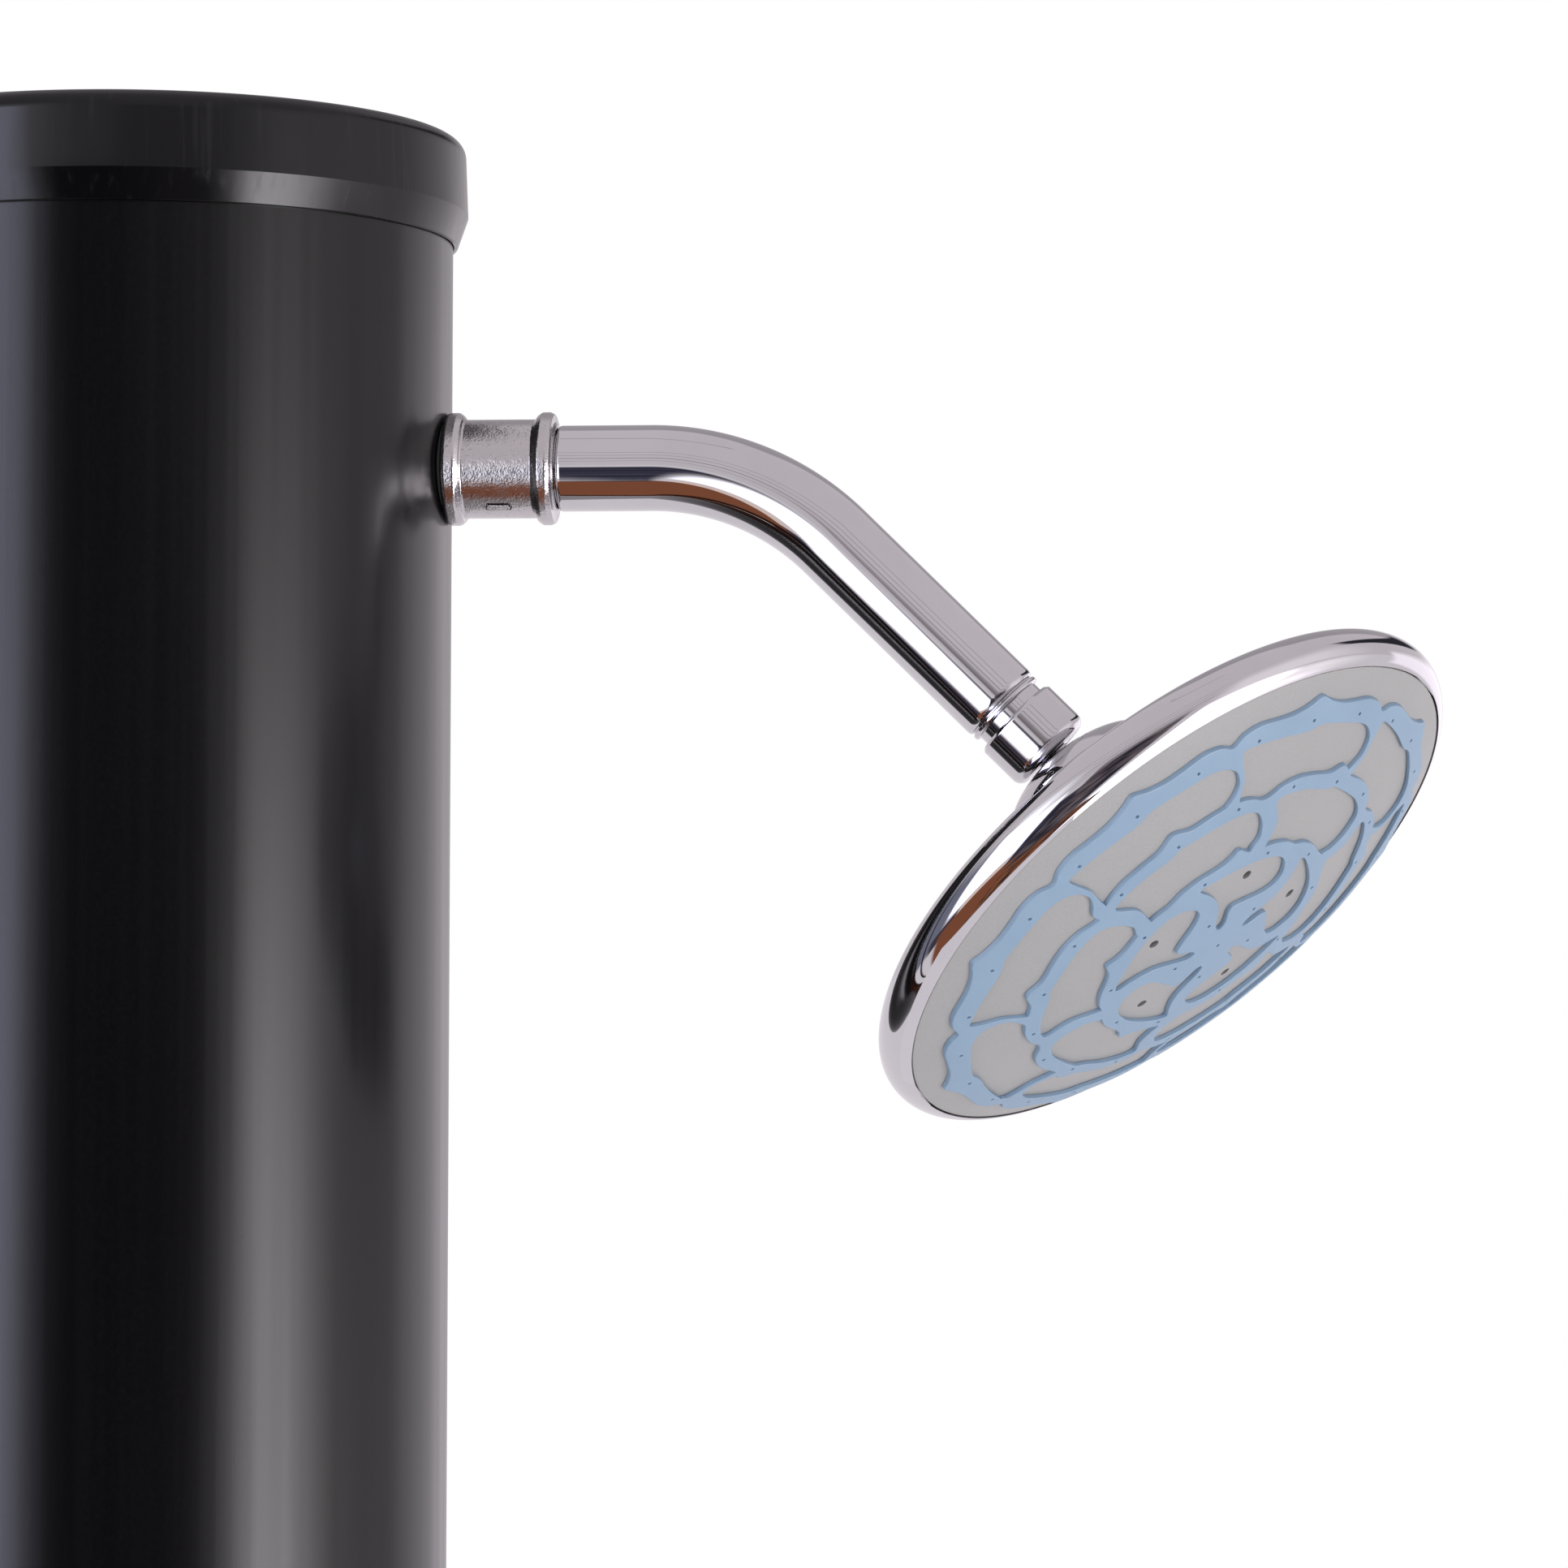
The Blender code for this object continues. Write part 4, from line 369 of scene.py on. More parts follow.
def squared_oval(wide, thick, count, wide_power, thick_power):
    """Points round an oval with full corners, as (across, up)."""
    ring = []
    for i in range(count):
        angle = 2 * math.pi * i / count
        x = math.cos(angle)
        y = math.sin(angle)
        across = wide * math.copysign(abs(x) ** wide_power, x)
        ring.append((across, thick * math.copysign(abs(y) ** thick_power, y)))
    return ring


# Geometry trees

def geometry_tree(name, *numbers):
    """A geometry tree that takes a shape, named numbers and a material, with its first and last node."""
    tree = bpy.data.node_groups.new(name, "GeometryNodeTree")
    tree.interface.new_socket("Shape", in_out="INPUT", socket_type="NodeSocketGeometry")
    for label, kind in numbers:
        tree.interface.new_socket(label, in_out="INPUT", socket_type=kind)
    tree.interface.new_socket("Finish", in_out="INPUT", socket_type="NodeSocketMaterial")
    tree.interface.new_socket("Shape", in_out="OUTPUT", socket_type="NodeSocketGeometry")
    return tree, tree.nodes.new("NodeGroupInput"), tree.nodes.new("NodeGroupOutput")


def step_of(tree, kind, inputs=(), **settings):
    """One node of a tree, with its settings, and its inputs linked or set."""
    made = tree.nodes.new(kind)
    for key, value in settings.items():
        setattr(made, key, value)
    for socket, value in dict(inputs).items():
        if isinstance(value, bpy.types.NodeSocket):
            tree.links.new(value, made.inputs[socket])
        else:
            made.inputs[socket].default_value = value
    return made


def maths(tree, operation, *values):
    """What one step of arithmetic gives, on linked or plain values."""
    return step_of(tree, "ShaderNodeMath", dict(enumerate(values)), operation=operation).outputs[0]


def close_tree(tree, first, last, shape):
    """Ends a geometry tree: real copies, with the finish on them."""
    real = step_of(tree, "GeometryNodeRealizeInstances", {"Geometry": shape})
    finished = step_of(
        tree, "GeometryNodeSetMaterial",
        {"Geometry": real.outputs["Geometry"], "Material": first.outputs["Finish"]},
    )
    tree.links.new(finished.outputs["Geometry"], last.inputs["Shape"])


def turned_copies(tree, first, shape):
    """As many copies of a shape as the count says, evenly turned about the Z axis from the first angle."""
    spots = step_of(tree, "GeometryNodePoints", {"Count": first.outputs["Count"]})
    index = step_of(tree, "GeometryNodeInputIndex")
    pitch = maths(tree, "DIVIDE", 2 * math.pi, first.outputs["Count"])
    angle = maths(tree, "MULTIPLY_ADD", index.outputs[0], pitch, first.outputs["First Angle"])
    turn = step_of(tree, "ShaderNodeCombineXYZ", {"Z": angle})
    inputs = {"Points": spots.outputs[0], "Instance": shape, "Rotation": turn.outputs[0]}
    return step_of(tree, "GeometryNodeInstanceOnPoints", inputs).outputs[0]


def copies_tree():
    """Copies of a shape evenly spaced about the Z axis."""
    tree, first, last = geometry_tree(
        "copies_round_axis", ("Count", "NodeSocketInt"), ("First Angle", "NodeSocketFloat")
    )
    close_tree(tree, first, last, turned_copies(tree, first, first.outputs["Shape"]))
    return tree


def sweep_tree():
    """A round rod along a curve, as thick as the curve's radius says."""
    tree, first, last = geometry_tree("rod_along_curve", ("Sides", "NodeSocketInt"))
    circle = {"Resolution": first.outputs["Sides"], "Radius": 1.0}
    ring = step_of(tree, "GeometryNodeCurvePrimitiveCircle", circle)
    thick = step_of(tree, "GeometryNodeInputRadius")
    inputs = {
        "Curve": first.outputs["Shape"], "Profile Curve": ring.outputs[0], "Scale": thick.outputs[0],
        "Fill Caps": True,
    }
    close_tree(tree, first, last, step_of(tree, "GeometryNodeCurveToMesh", inputs).outputs[0])
    return tree


def holes_tree():
    """A ring of round holes cut through a shape about the Z axis."""
    tree, first, last = geometry_tree(
        "ring_of_holes", ("Count", "NodeSocketInt"), ("Ring Radius", "NodeSocketFloat"),
        ("First Angle", "NodeSocketFloat"), ("Hole Radius", "NodeSocketFloat"), ("Sides", "NodeSocketInt"),
        ("Low", "NodeSocketFloat"), ("High", "NodeSocketFloat"),
    )
    length = maths(tree, "SUBTRACT", first.outputs["High"], first.outputs["Low"])
    middle = maths(tree, "MULTIPLY_ADD", length, 0.5, first.outputs["Low"])
    inputs = {"Vertices": first.outputs["Sides"], "Radius": first.outputs["Hole Radius"], "Depth": length}
    drill = step_of(tree, "GeometryNodeMeshCylinder", inputs)
    out = step_of(tree, "ShaderNodeCombineXYZ", {"X": first.outputs["Ring Radius"], "Z": middle})
    inputs = {"Geometry": drill.outputs["Mesh"], "Translation": out.outputs[0]}
    away = step_of(tree, "GeometryNodeTransform", inputs)
    drills = turned_copies(tree, first, away.outputs[0])
    real = step_of(tree, "GeometryNodeRealizeInstances", {"Geometry": drills})
    bored = step_of(tree, "GeometryNodeMeshBoolean", operation="DIFFERENCE", solver="EXACT")
    tree.links.new(first.outputs["Shape"], bored.inputs["Mesh 1"])
    tree.links.new(real.outputs[0], bored.inputs["Mesh 2"])
    close_tree(tree, first, last, bored.outputs["Mesh"])
    return tree


COPIES = copies_tree()
SWEEP = sweep_tree()
HOLES = holes_tree()


def grown(obj, tree, finish, **sizes):
    """Runs a geometry tree on an object, with its inputs set by their sockets, and returns the plain mesh."""
    step = obj.modifiers.new(tree.name, "NODES")
    step.node_group = tree
    values = {"Finish": finish, **{label.replace("_", " "): value for label, value in sizes.items()}}
    for item in tree.interface.items_tree:
        if item.in_out == "INPUT" and item.name in values:
            step[item.identifier] = values[item.name]
    return evaluated(obj)


def round_axis(mesh, count, finish, first_angle=0.0):
    """Copies of a mesh about the Z axis."""
    return smoothed(grown(as_object(mesh), COPIES, finish, Count=count, First_Angle=first_angle))


def rod(name, route, finish, sides=SMALL):
    """A rod along (point, radius) places in the world."""
    curve = bpy.data.curves.new(name, "CURVE")
    curve.dimensions = "3D"
    spline = curve.splines.new("POLY")
    spline.points.add(len(route) - 1)
    for spot, (point, radius) in zip(spline.points, route):
        spot.co = (*point, 1)
        spot.radius = radius
    made = grown(as_object(curve), SWEEP, finish, Sides=sides)
    bm = bmesh.new()
    bm.from_mesh(made)
    bpy.data.meshes.remove(made)
    return finished_mesh(name, bm)


def bored(mesh, finish, count, ring, first_angle, radius, low, high, sides=12):
    """The mesh with a ring of holes in it."""
    return grown(
        as_object(mesh), HOLES, finish, Count=count, Ring_Radius=ring, First_Angle=math.radians(first_angle),
        Hole_Radius=radius, Sides=sides, Low=low, High=high,
    )


# Finishes

WHITE_PLASTIC = (0.76, 0.76, 0.74)


def new_finish(name, colour, roughness, metallic=0.0, **sockets):
    """A material with its tree and shader; what is the same all over is set on the shader itself."""
    made = bpy.data.materials.new(name)
    made.use_nodes = True
    shader = made.node_tree.nodes["Principled BSDF"]
    shader.inputs["Base Color"].default_value = (*colour, 1)
    shader.inputs["Roughness"].default_value = roughness
    shader.inputs["Metallic"].default_value = metallic
    for label, value in sockets.items():
        shader.inputs[label.replace("_", " ")].default_value = value
    return made, made.node_tree, shader


def grain(tree, scale, detail=3.0, stretch=(1, 1, 1), rough=0.5):
    """Noise on the piece's own coordinates, stretched along an axis where its scale is small."""
    spot = step_of(tree, "ShaderNodeTexCoord")
    stretched = step_of(tree, "ShaderNodeMapping", {"Vector": spot.outputs["Object"], "Scale": stretch})
    inputs = {"Vector": stretched.outputs[0], "Scale": scale, "Detail": detail, "Roughness": rough}
    return step_of(tree, "ShaderNodeTexNoise", inputs).outputs["Fac"]


def ranged(tree, value, low, high, start=0.35, end=0.65):
    """A pattern's values from a start to an end, spread from low to high."""
    inputs = {"Value": value, "From Min": start, "From Max": end, "To Min": low, "To Max": high}
    return step_of(tree, "ShaderNodeMapRange", inputs).outputs[0]


def between(tree, share, dark, light):
    """A colour between two, by a share."""
    inputs = {0: share, 6: (*dark, 1), 7: (*light, 1)}
    return step_of(tree, "ShaderNodeMix", inputs, data_type="RGBA").outputs[2]


def coloured(tree, shader, share, dark, light):
    """Colours a finish between two colours, by a share."""
    tree.links.new(between(tree, share, dark, light), shader.inputs["Base Color"])


def roughened(tree, shader, *parts):
    """Gives a finish one pattern, or the sum of two, as its roughness."""
    value = maths(tree, "ADD", *parts) if len(parts) > 1 else parts[0]
    tree.links.new(value, shader.inputs["Roughness"])


def worn(tree, shader, pattern, least_rough, most_rough, dark, light):
    """Lets one pattern say how rough a finish is and which of two colours it has."""
    roughened(tree, shader, ranged(tree, pattern, least_rough, most_rough))
    coloured(tree, shader, ranged(tree, pattern, 0, 1), dark, light)


def raised(tree, shader, *layers):
    """Bump from (height, strength, distance) layers, finest last."""
    normal = None
    for height, strength, distance in layers:
        bump = step_of(tree, "ShaderNodeBump", {"Strength": strength, "Distance": distance, "Height": height})
        if normal is not None:
            tree.links.new(normal, bump.inputs["Normal"])
        normal = bump.outputs[0]
    tree.links.new(normal, shader.inputs["Normal"])


def tube_finish():
    """Drawn PVC: satin black, with fine lines along the tube, a little haze and a few scuffs."""
    made, tree, shader = new_finish(
        "drawn_black_pvc", (0.003, 0.0028, 0.0033), 0.20, Specular_IOR_Level=0.30
    )
    haze = grain(tree, 9, 4, (1, 1, 0.35))
    streaks = grain(tree, 240, 3, (1, 1, 0.012))
    specks = grain(tree, 900, 2)
    roughened(tree, shader, ranged(tree, haze, -0.02, 0.03), ranged(tree, streaks, 0.20, 0.26))
    dust = ranged(tree, specks, 0, 1, 0.4, 0.75)
    coloured(tree, shader, dust, (0.0028, 0.0026, 0.0031), (0.0043, 0.0041, 0.0047))
    raised(tree, shader, (streaks, 0.05, 0.0002), (grain(tree, 1400, 2), 0.04, 0.0001))
    return made


def cap_finish():
    """Moulded cap: glossier black with wiped-on smears and fine scratches."""
    made, tree, shader = new_finish(
        "moulded_black_cap", (0.003, 0.0028, 0.0034), 0.22, Specular_IOR_Level=0.29
    )
    smears = grain(tree, 22, 5, (1, 1, 0.5), 0.6)
    lines = grain(tree, 420, 2, (1, 1, 0.03))
    roughened(tree, shader, ranged(tree, smears, 0.16, 0.27), ranged(tree, lines, -0.03, 0.06, 0.5, 0.8))
    scratches = ranged(tree, lines, 0, 1, 0.60, 0.82)
    coloured(tree, shader, scratches, (0.0028, 0.0026, 0.0032), (0.013, 0.0125, 0.0138))
    raised(tree, shader, (grain(tree, 60, 2), 0.03, 0.001), (lines, 0.04, 0.0001))
    return made


def plastic_finish(name, colour, light, roughness, coarse=500, depth=0.25):
    """Moulded plastic with a spark-eroded grain and handling marks."""
    made, tree, shader = new_finish(name, colour, roughness)
    cells = step_of(tree, "ShaderNodeTexVoronoi", {"Scale": float(coarse * 2)})
    spot = step_of(tree, "ShaderNodeTexCoord")
    tree.links.new(spot.outputs["Object"], cells.inputs["Vector"])
    worn(tree, shader, grain(tree, 30, 4), roughness - 0.08, roughness + 0.08, colour, light)
    dimples = (cells.outputs["Distance"], depth / 2, 0.0001)
    raised(tree, shader, (grain(tree, coarse, 3), depth, 0.0002), dimples)
    return made


def chrome_finish():
    """Bright chrome plate: faintly wavy, with wiped smears and a few dull flecks."""
    made, tree, shader = new_finish("bright_chrome", (0.60, 0.59, 0.61), 0.03, 1.0)
    smears = grain(tree, 35, 5, (1, 1, 1), 0.65)
    flecks = ranged(tree, grain(tree, 600, 2), 0, 1, 0.68, 0.80)
    roughened(tree, shader, maths(tree, "MULTIPLY_ADD", flecks, 0.05, ranged(tree, smears, 0.015, 0.045)))
    coloured(tree, shader, ranged(tree, smears, 0, 1), (0.60, 0.59, 0.61), (0.57, 0.56, 0.58))
    brushed = (grain(tree, 240, 2, (0.15, 1, 1)), 0.01, 0.0002)
    raised(tree, shader, (grain(tree, 70, 2), 0.02, 0.0006), brushed)
    return made


def cast_finish():
    """Nickelled casting: a soft orange-peel skin with scattered pits, smoother where it is rubbed."""
    made, tree, shader = new_finish("cast_nickel_skin", (0.50, 0.485, 0.49), 0.24, 1.0)
    peel = grain(tree, 700, 3, (0.7, 1, 1), 0.55)
    pits = ranged(tree, grain(tree, 1700, 2, (0.6, 1, 1)), 0, 1, 0.63, 0.76)
    rubbed = grain(tree, 160, 3)
    roughened(tree, shader, ranged(tree, rubbed, 0.15, 0.24), ranged(tree, pits, 0, 0.20, 0, 1))
    coloured(tree, shader, pits, (0.53, 0.51, 0.52), (0.33, 0.30, 0.30))
    dents = maths(tree, "SUBTRACT", 1.0, pits)
    raised(tree, shader, (peel, 0.22, 0.0004), (dents, 0.24, 0.0001), (grain(tree, 2000, 2), 0.46, 0.00014))
    return made


def brass_finish():
    """Turned brass with the tool's fine lines and a little tarnish."""
    made, tree, shader = new_finish("turned_brass", (0.70, 0.50, 0.22), 0.28, 1.0)
    tarnish = grain(tree, 120, 4)
    worn(tree, shader, tarnish, 0.22, 0.42, (0.72, 0.52, 0.23), (0.42, 0.27, 0.11))
    raised(tree, shader, (grain(tree, 1600, 2), 0.10, 0.0002))
    return made


def plate_finish():
    """Sprayed satin grey with a fine sparkle, and painted shade near black at the bottom of its holes."""
    made, tree, shader = new_finish("sprayed_satin_grey", (0.41, 0.40, 0.405), 0.48, 0.0)
    flakes = grain(tree, 3200, 2)
    cloud = grain(tree, 24, 3)
    paint = between(tree, ranged(tree, flakes, 0, 1, 0.3, 0.7), (0.39, 0.383, 0.385), (0.46, 0.45, 0.455))
    # Painted shade: near black where the attribute marks the bottom of a hole
    hole_shade = step_of(tree, "ShaderNodeAttribute", attribute_name="painted_hole_shade").outputs["Fac"]
    inputs = {0: hole_shade, 6: paint, 7: (0.02, 0.02, 0.022, 1)}
    tone = step_of(tree, "ShaderNodeMix", inputs, data_type="RGBA").outputs[2]
    tree.links.new(tone, shader.inputs["Base Color"])
    roughened(tree, shader, ranged(tree, cloud, 0.42, 0.52), ranged(tree, flakes, -0.04, 0.04))
    raised(tree, shader, (flakes, 0.08, 0.0001))
    return made


def silicone_finish():
    """Soft pale blue silicone: satin, a little see-through, with lint and a faint bloom."""
    made, tree, shader = new_finish(
        "pale_blue_silicone", (0.295, 0.424, 0.587), 0.50, Subsurface_Weight=0.12, Subsurface_Scale=0.0012
    )
    shader.inputs["Subsurface Radius"].default_value = (0.6, 0.8, 1.0)
    bloom = grain(tree, 60, 4)
    lint = grain(tree, 2200, 2)
    worn(tree, shader, bloom, 0.44, 0.56, (0.283, 0.410, 0.572), (0.308, 0.438, 0.602))
    raised(tree, shader, (grain(tree, 300, 2), 0.10, 0.0003), (lint, 0.08, 0.0001))
    return made


def rubber_finish():
    """Dull black rubber."""
    made, tree, shader = new_finish("black_rubber_ring", (0.012, 0.012, 0.012), 0.72)
    dull = grain(tree, 700, 4)
    worn(tree, shader, dull, 0.62, 0.82, (0.010, 0.010, 0.010), (0.020, 0.019, 0.019))
    raised(tree, shader, (dull, 0.25, 0.0002))
    return made


def index_finish():
    """White plug with a red half ring for hot and a blue one for cold."""
    made, tree, shader = new_finish("marked_white_plug", WHITE_PLASTIC, 0.30)
    spot = step_of(tree, "ShaderNodeTexCoord")
    inputs = {0: spot.outputs["Object"], 1: (0, 0, MIXER_HEIGHT)}
    centred = step_of(tree, "ShaderNodeVectorMath", inputs, operation="SUBTRACT")
    flat = step_of(tree, "ShaderNodeVectorMath", {0: centred.outputs[0], 1: (0, 1, 1)}, operation="MULTIPLY")
    far = step_of(tree, "ShaderNodeVectorMath", {0: flat.outputs[0]}, operation="LENGTH").outputs["Value"]
    ring_radius = 0.0030
    half_width = 0.0007
    ring = maths(tree, "COMPARE", far, ring_radius, half_width)
    side = step_of(tree, "ShaderNodeSeparateXYZ", {0: flat.outputs[0]}).outputs["Y"]
    cold = maths(tree, "GREATER_THAN", side, 0.0)
    marks = between(tree, cold, (0.62, 0.03, 0.02), (0.03, 0.12, 0.55))
    inputs = {0: ring, 6: (*WHITE_PLASTIC, 1), 7: marks}
    tone = step_of(tree, "ShaderNodeMix", inputs, data_type="RGBA").outputs[2]
    tree.links.new(tone, shader.inputs["Base Color"])
    roughened(tree, shader, ranged(tree, grain(tree, 900, 3), 0.26, 0.36))
    raised(tree, shader, (grain(tree, 1500, 3), 0.08, 0.0001))
    return made


TUBE_BLACK = tube_finish()
CAP_BLACK = cap_finish()
PLASTIC_BLACK = plastic_finish("grained_black_plastic", (0.014, 0.014, 0.015), (0.022, 0.022, 0.023), 0.50)
PLASTIC_WHITE = plastic_finish("white_moulding", WHITE_PLASTIC, (0.70, 0.70, 0.67), 0.38, 900, 0.10)
HOSE_PLASTIC = plastic_finish("white_hose_plastic", (0.70, 0.72, 0.72), (0.62, 0.65, 0.64), 0.42, 700, 0.12)
RUBBER = rubber_finish()
CHROME = chrome_finish()
CAST = cast_finish()
BRASS = brass_finish()
PLATE_GREY = plate_finish()
SILICONE = silicone_finish()
INDEX = index_finish()


# Head

def dome(radius):
    """Height of the face's dome above the ball's centre, at a distance from the head's axis."""
    return PLATE_SPHERE_CENTRE + math.sqrt(PLATE_SPHERE**2 - radius**2)


def head_shell():
    """The chrome shell: hub dome, swept back, rolled rim and the ledge that the plate sits on."""
    rim = (PLATE_RADIUS - RIM_INSET, PLATE_PLANE - RIM_SETBACK)
    rim_back = rim[1] - RIM_RADIUS
    hub = []
    bare = 0.16  # the share of the dome beside its mouth that doesn't swell
    for i in range(34):
        t = i / 33
        at = math.radians(HUB_MOUTH + HUB_SWEEP * t)
        swell = math.sin(math.pi * max(0.0, (t - bare) / (1 - bare))) ** 1.5
        radius = HUB_RADIUS + HUB_SWELL * swell
        hub.append((radius * math.sin(at), HUB_CENTRE - radius * math.cos(at)))
    foot = Vector(hub[-1])
    root = Vector((0.0335, rim_back - BACK_DROP))
    bend = Vector((0.0303, 0.01144))
    fillet = [tuple(foot.lerp(bend, t).lerp(bend.lerp(root, t), t)) for t in (i / 10 for i in range(1, 10))]
    span = rim[0] - root.x
    back = [
        (root.x + span * t, rim_back - BACK_DROP * (1 - math.sin(t * math.pi / 2)))
        for t in (i / 30 for i in range(30))
    ]
    edge = arc(rim, RIM_RADIUS, -90, 70, 40)
    ledge = PLATE_PLANE - 0.0039
    section = [
        *hub, *fillet, *back, *edge, (0.0813, ledge), (0.0765, ledge), (0.0765, rim_back + 0.003),
        (root.x, root.y + 0.003), (0.0173, 0.0155), (0.0173, 0.0005), (0.0128, 0.0005), (0.0098, -0.0088),
        (0.0102, -0.0103),
    ]
    shell = turned_mesh("head_shell_spun", section, HEAD, FINE)
    piece(shell, "head", CHROME, "chromed_plastic", "head_shell")


def face_plate():
    """The satin grey plate: its dome, its turned-down edge and five blind holes."""
    low = -0.0023
    lip = PLATE_RADIUS - 0.0034
    radii = [PLATE_RADIUS * i / 36 for i in range(36)] + [PLATE_RADIUS - 0.0004, PLATE_RADIUS - 0.0001]
    section = [
        *((r, 0.0) for r in radii), (PLATE_RADIUS, -0.0003), (PLATE_RADIUS, low), (lip, low),
        *((r, -PLATE_THICKNESS) for r in reversed([lip * i / 6 for i in range(7)])),
    ]
    plate = turned_mesh("face_plate_domed", section, UPRIGHT, FINE)
    plate = bored(
        plate, PLATE_GREY, PLATE_HOLES, PLATE_HOLE_RING, FIRST_PLATE_HOLE, PLATE_HOLE_RADIUS,
        -PLATE_HOLE_DEPTH, 0.003, 24,
    )
    # Painted shade: the colour turns near black at the bottom of the holes and darkens down their walls.
    hole_shade = plate.attributes.new("painted_hole_shade", "FLOAT", "POINT")
    for vertex in plate.vertices:
        far = math.hypot(vertex.co.x, vertex.co.y)
        hole_shade.data[vertex.index].value = float(
            abs(far - PLATE_HOLE_RING) < 0.0015 and vertex.co.z < -0.001
        )
        vertex.co.z += dome(min(far, PLATE_RADIUS))
    plate.transform(HEAD)
    piece(smoothed(plate), "head", PLATE_GREY, "face_plate_grey", "face_plate")


# Silicone net: half a petal's edge as (degrees from its tip, radius in millimetres)
OUTER_EDGE = ((0, 75.8), (2.7, 74.3), (6.8, 73.1), (11.3, 73.2), (15.8, 73.8), (19.8, 73.0), (22.5, 71.2))
MIDDLE_EDGE = ((0, 56.3), (5, 54.1), (12, 54.0), (18, 54.0), (24, 53.0), (30, 50.8))
INNER_EDGE = ((0, 37.0), (4, 35.2), (9, 34.3), (20, 34.5), (29, 34.3), (36, 33.5))
# One petal's opening, round its edge
OUTER_CELL = (
    (20.2, 68.5), (17.8, 68.8), (9.8, 67.8), (1.8, 67.2), (-2.2, 68.2), (-15.2, 67.5), (-19.7, 66.5),
    (-22.7, 64.0), (-23.7, 60.0), (-22.2, 56.5), (-19.2, 53.5), (-18.0, 48.0), (21.0, 48.0), (21.0, 55.0),
    (19.8, 60.0),
)
MIDDLE_CELL = (
    (24.8, 49.0), (14.8, 50.0), (2.8, 49.5), (-0.2, 50.3), (-15.2, 49.5), (-22.2, 49.0), (-27.2, 47.5),
    (-30.2, 44.0), (-31.2, 41.0), (-31.2, 38.0), (-28.2, 35.0), (-26.0, 30.0), (24.0, 30.0), (23.3, 35.0),
    (21.8, 42.0),
)
INNER_CELL = (
    (33, 30.2), (20, 30.0), (0, 30.0), (-15, 29.8), (-24, 28.3), (-31, 25.0), (-33, 22.0), (-30, 19.5),
    (-22, 17.5), (-7, 16.0), (7, 15.3), (11, 13.6), (11, 10.8), (13.5, 8.6), (20, 7.7), (27, 8.5), (28, 11.0),
    (25, 14.2), (23.5, 19.0), (25, 22.0), (29, 26.0),
)
# Petals in a full turn, and the first tip's angle
OUTER_PETALS = (8, 17.5)
MIDDLE_PETALS = (6, 29.0)
INNER_PETALS = (5, 19.0)
INNER_CELLS_FROM = 6.9
# Rings of pinholes: (count, radius in millimetres, first one's angle)
PINHOLES = ((24, 69.9, 3.8), (18, 51.8, 9.0), (10, 31.9, 1.0), (5, 13.0, 44.0), (1, 0, 0))
PINHOLE_RADIUS = 0.50
PINHOLE_FLOOR = 0.35
NET_HEIGHT = 0.0012
NET_GAP = 0.0001
NET_EDGE = 0.28  # millimetres that its top edges are rounded off
NET_SPACING = 0.9  # millimetres between the points of its lines
NET_CROWDING = 0.22  # and the least that stays between two of them
NET_GRID = 2.4  # the same between the columns of points within it
NET_ROWS = 0.866  # rows of these points stand this share as far apart
NET_GRID_REACH = 78
NET_MARGIN = 0.7  # how far these points keep from the lines


def polar(radius, degrees):
    """A flat point by its distance from the middle and its angle."""
    return Vector((radius * math.cos(math.radians(degrees)), radius * math.sin(math.radians(degrees))))


def curved_loop(points):
    """A smooth closed line through points, as points about evenly spaced."""
    line = []
    count = len(points)
    for i in range(count):
        a, b, c, d = (points[(i + k) % count] for k in (-1, 0, 1, 2))
        pieces = max(1, round((c - b).length / NET_SPACING))
        lean_b = (c - a) / max((c - b).length + (b - a).length, 1e-6) * (c - b).length
        lean_c = (d - b) / max((d - c).length + (c - b).length, 1e-6) * (c - b).length
        for k in range(pieces):
            t = k / pieces
            line.append(
                b * (2 * t**3 - 3 * t**2 + 1) + lean_b * (t**3 - 2 * t**2 + t)
                + c * (3 * t**2 - 2 * t**3) + lean_c * (t**3 - t**2)
            )
    return line


def rosette(half_edge, petals):
    """A closed line of petals from half of one petal's edge, mirrored about its tip."""
    count, first_tip = petals
    petal = [(-angle, radius) for angle, radius in reversed(half_edge[1:-1])] + list(half_edge)
    return curved_loop([polar(r, first_tip + 360 * i / count + a) for i in range(count) for a, r in petal])


def cells(outline, count, first):
    """The closed lines of a ring of openings."""
    return [curved_loop([polar(r, first + 360 * i / count + a) for a, r in outline]) for i in range(count)]


def inside(loop, point):
    """Whether a flat point lies within a closed line."""
    x, y = point
    within = False
    for (ax, ay), (bx, by) in zip(loop, loop[1:] + loop[:1]):
        if (ay > y) != (by > y) and x < (bx - ax) * (y - ay) / (by - ay) + ax:
            within = not within
    return within


class Outline:
    """A closed line with its box, which answers quickly whether a point is inside."""

    def __init__(self, loop):
        self.loop = [tuple(p) for p in loop]
        self.low = (min(p[0] for p in self.loop), min(p[1] for p in self.loop))
        self.high = (max(p[0] for p in self.loop), max(p[1] for p in self.loop))

    def holds(self, point):
        if not (self.low[0] < point[0] < self.high[0] and self.low[1] < point[1] < self.high[1]):
            return False
        return inside(self.loop, point)


def triangles_between(loops, extra=()):
    """Triangles over all the loops, with the points that they use: (points, faces)."""
    points = []
    edges = []
    for loop in loops:
        first = len(points)
        points.extend(Vector(p) for p in loop)
        edges.extend((first + i, first + (i + 1) % len(loop)) for i in range(len(loop)))
    points.extend(extra)
    made = delaunay_2d_cdt(points, edges, [], 0, 1e-5)
    return made[0], made[2]


def middle_of(points, face):
    """The middle of a face's corners."""
    return sum((points[i] for i in face), Vector((0, 0))) / len(face)


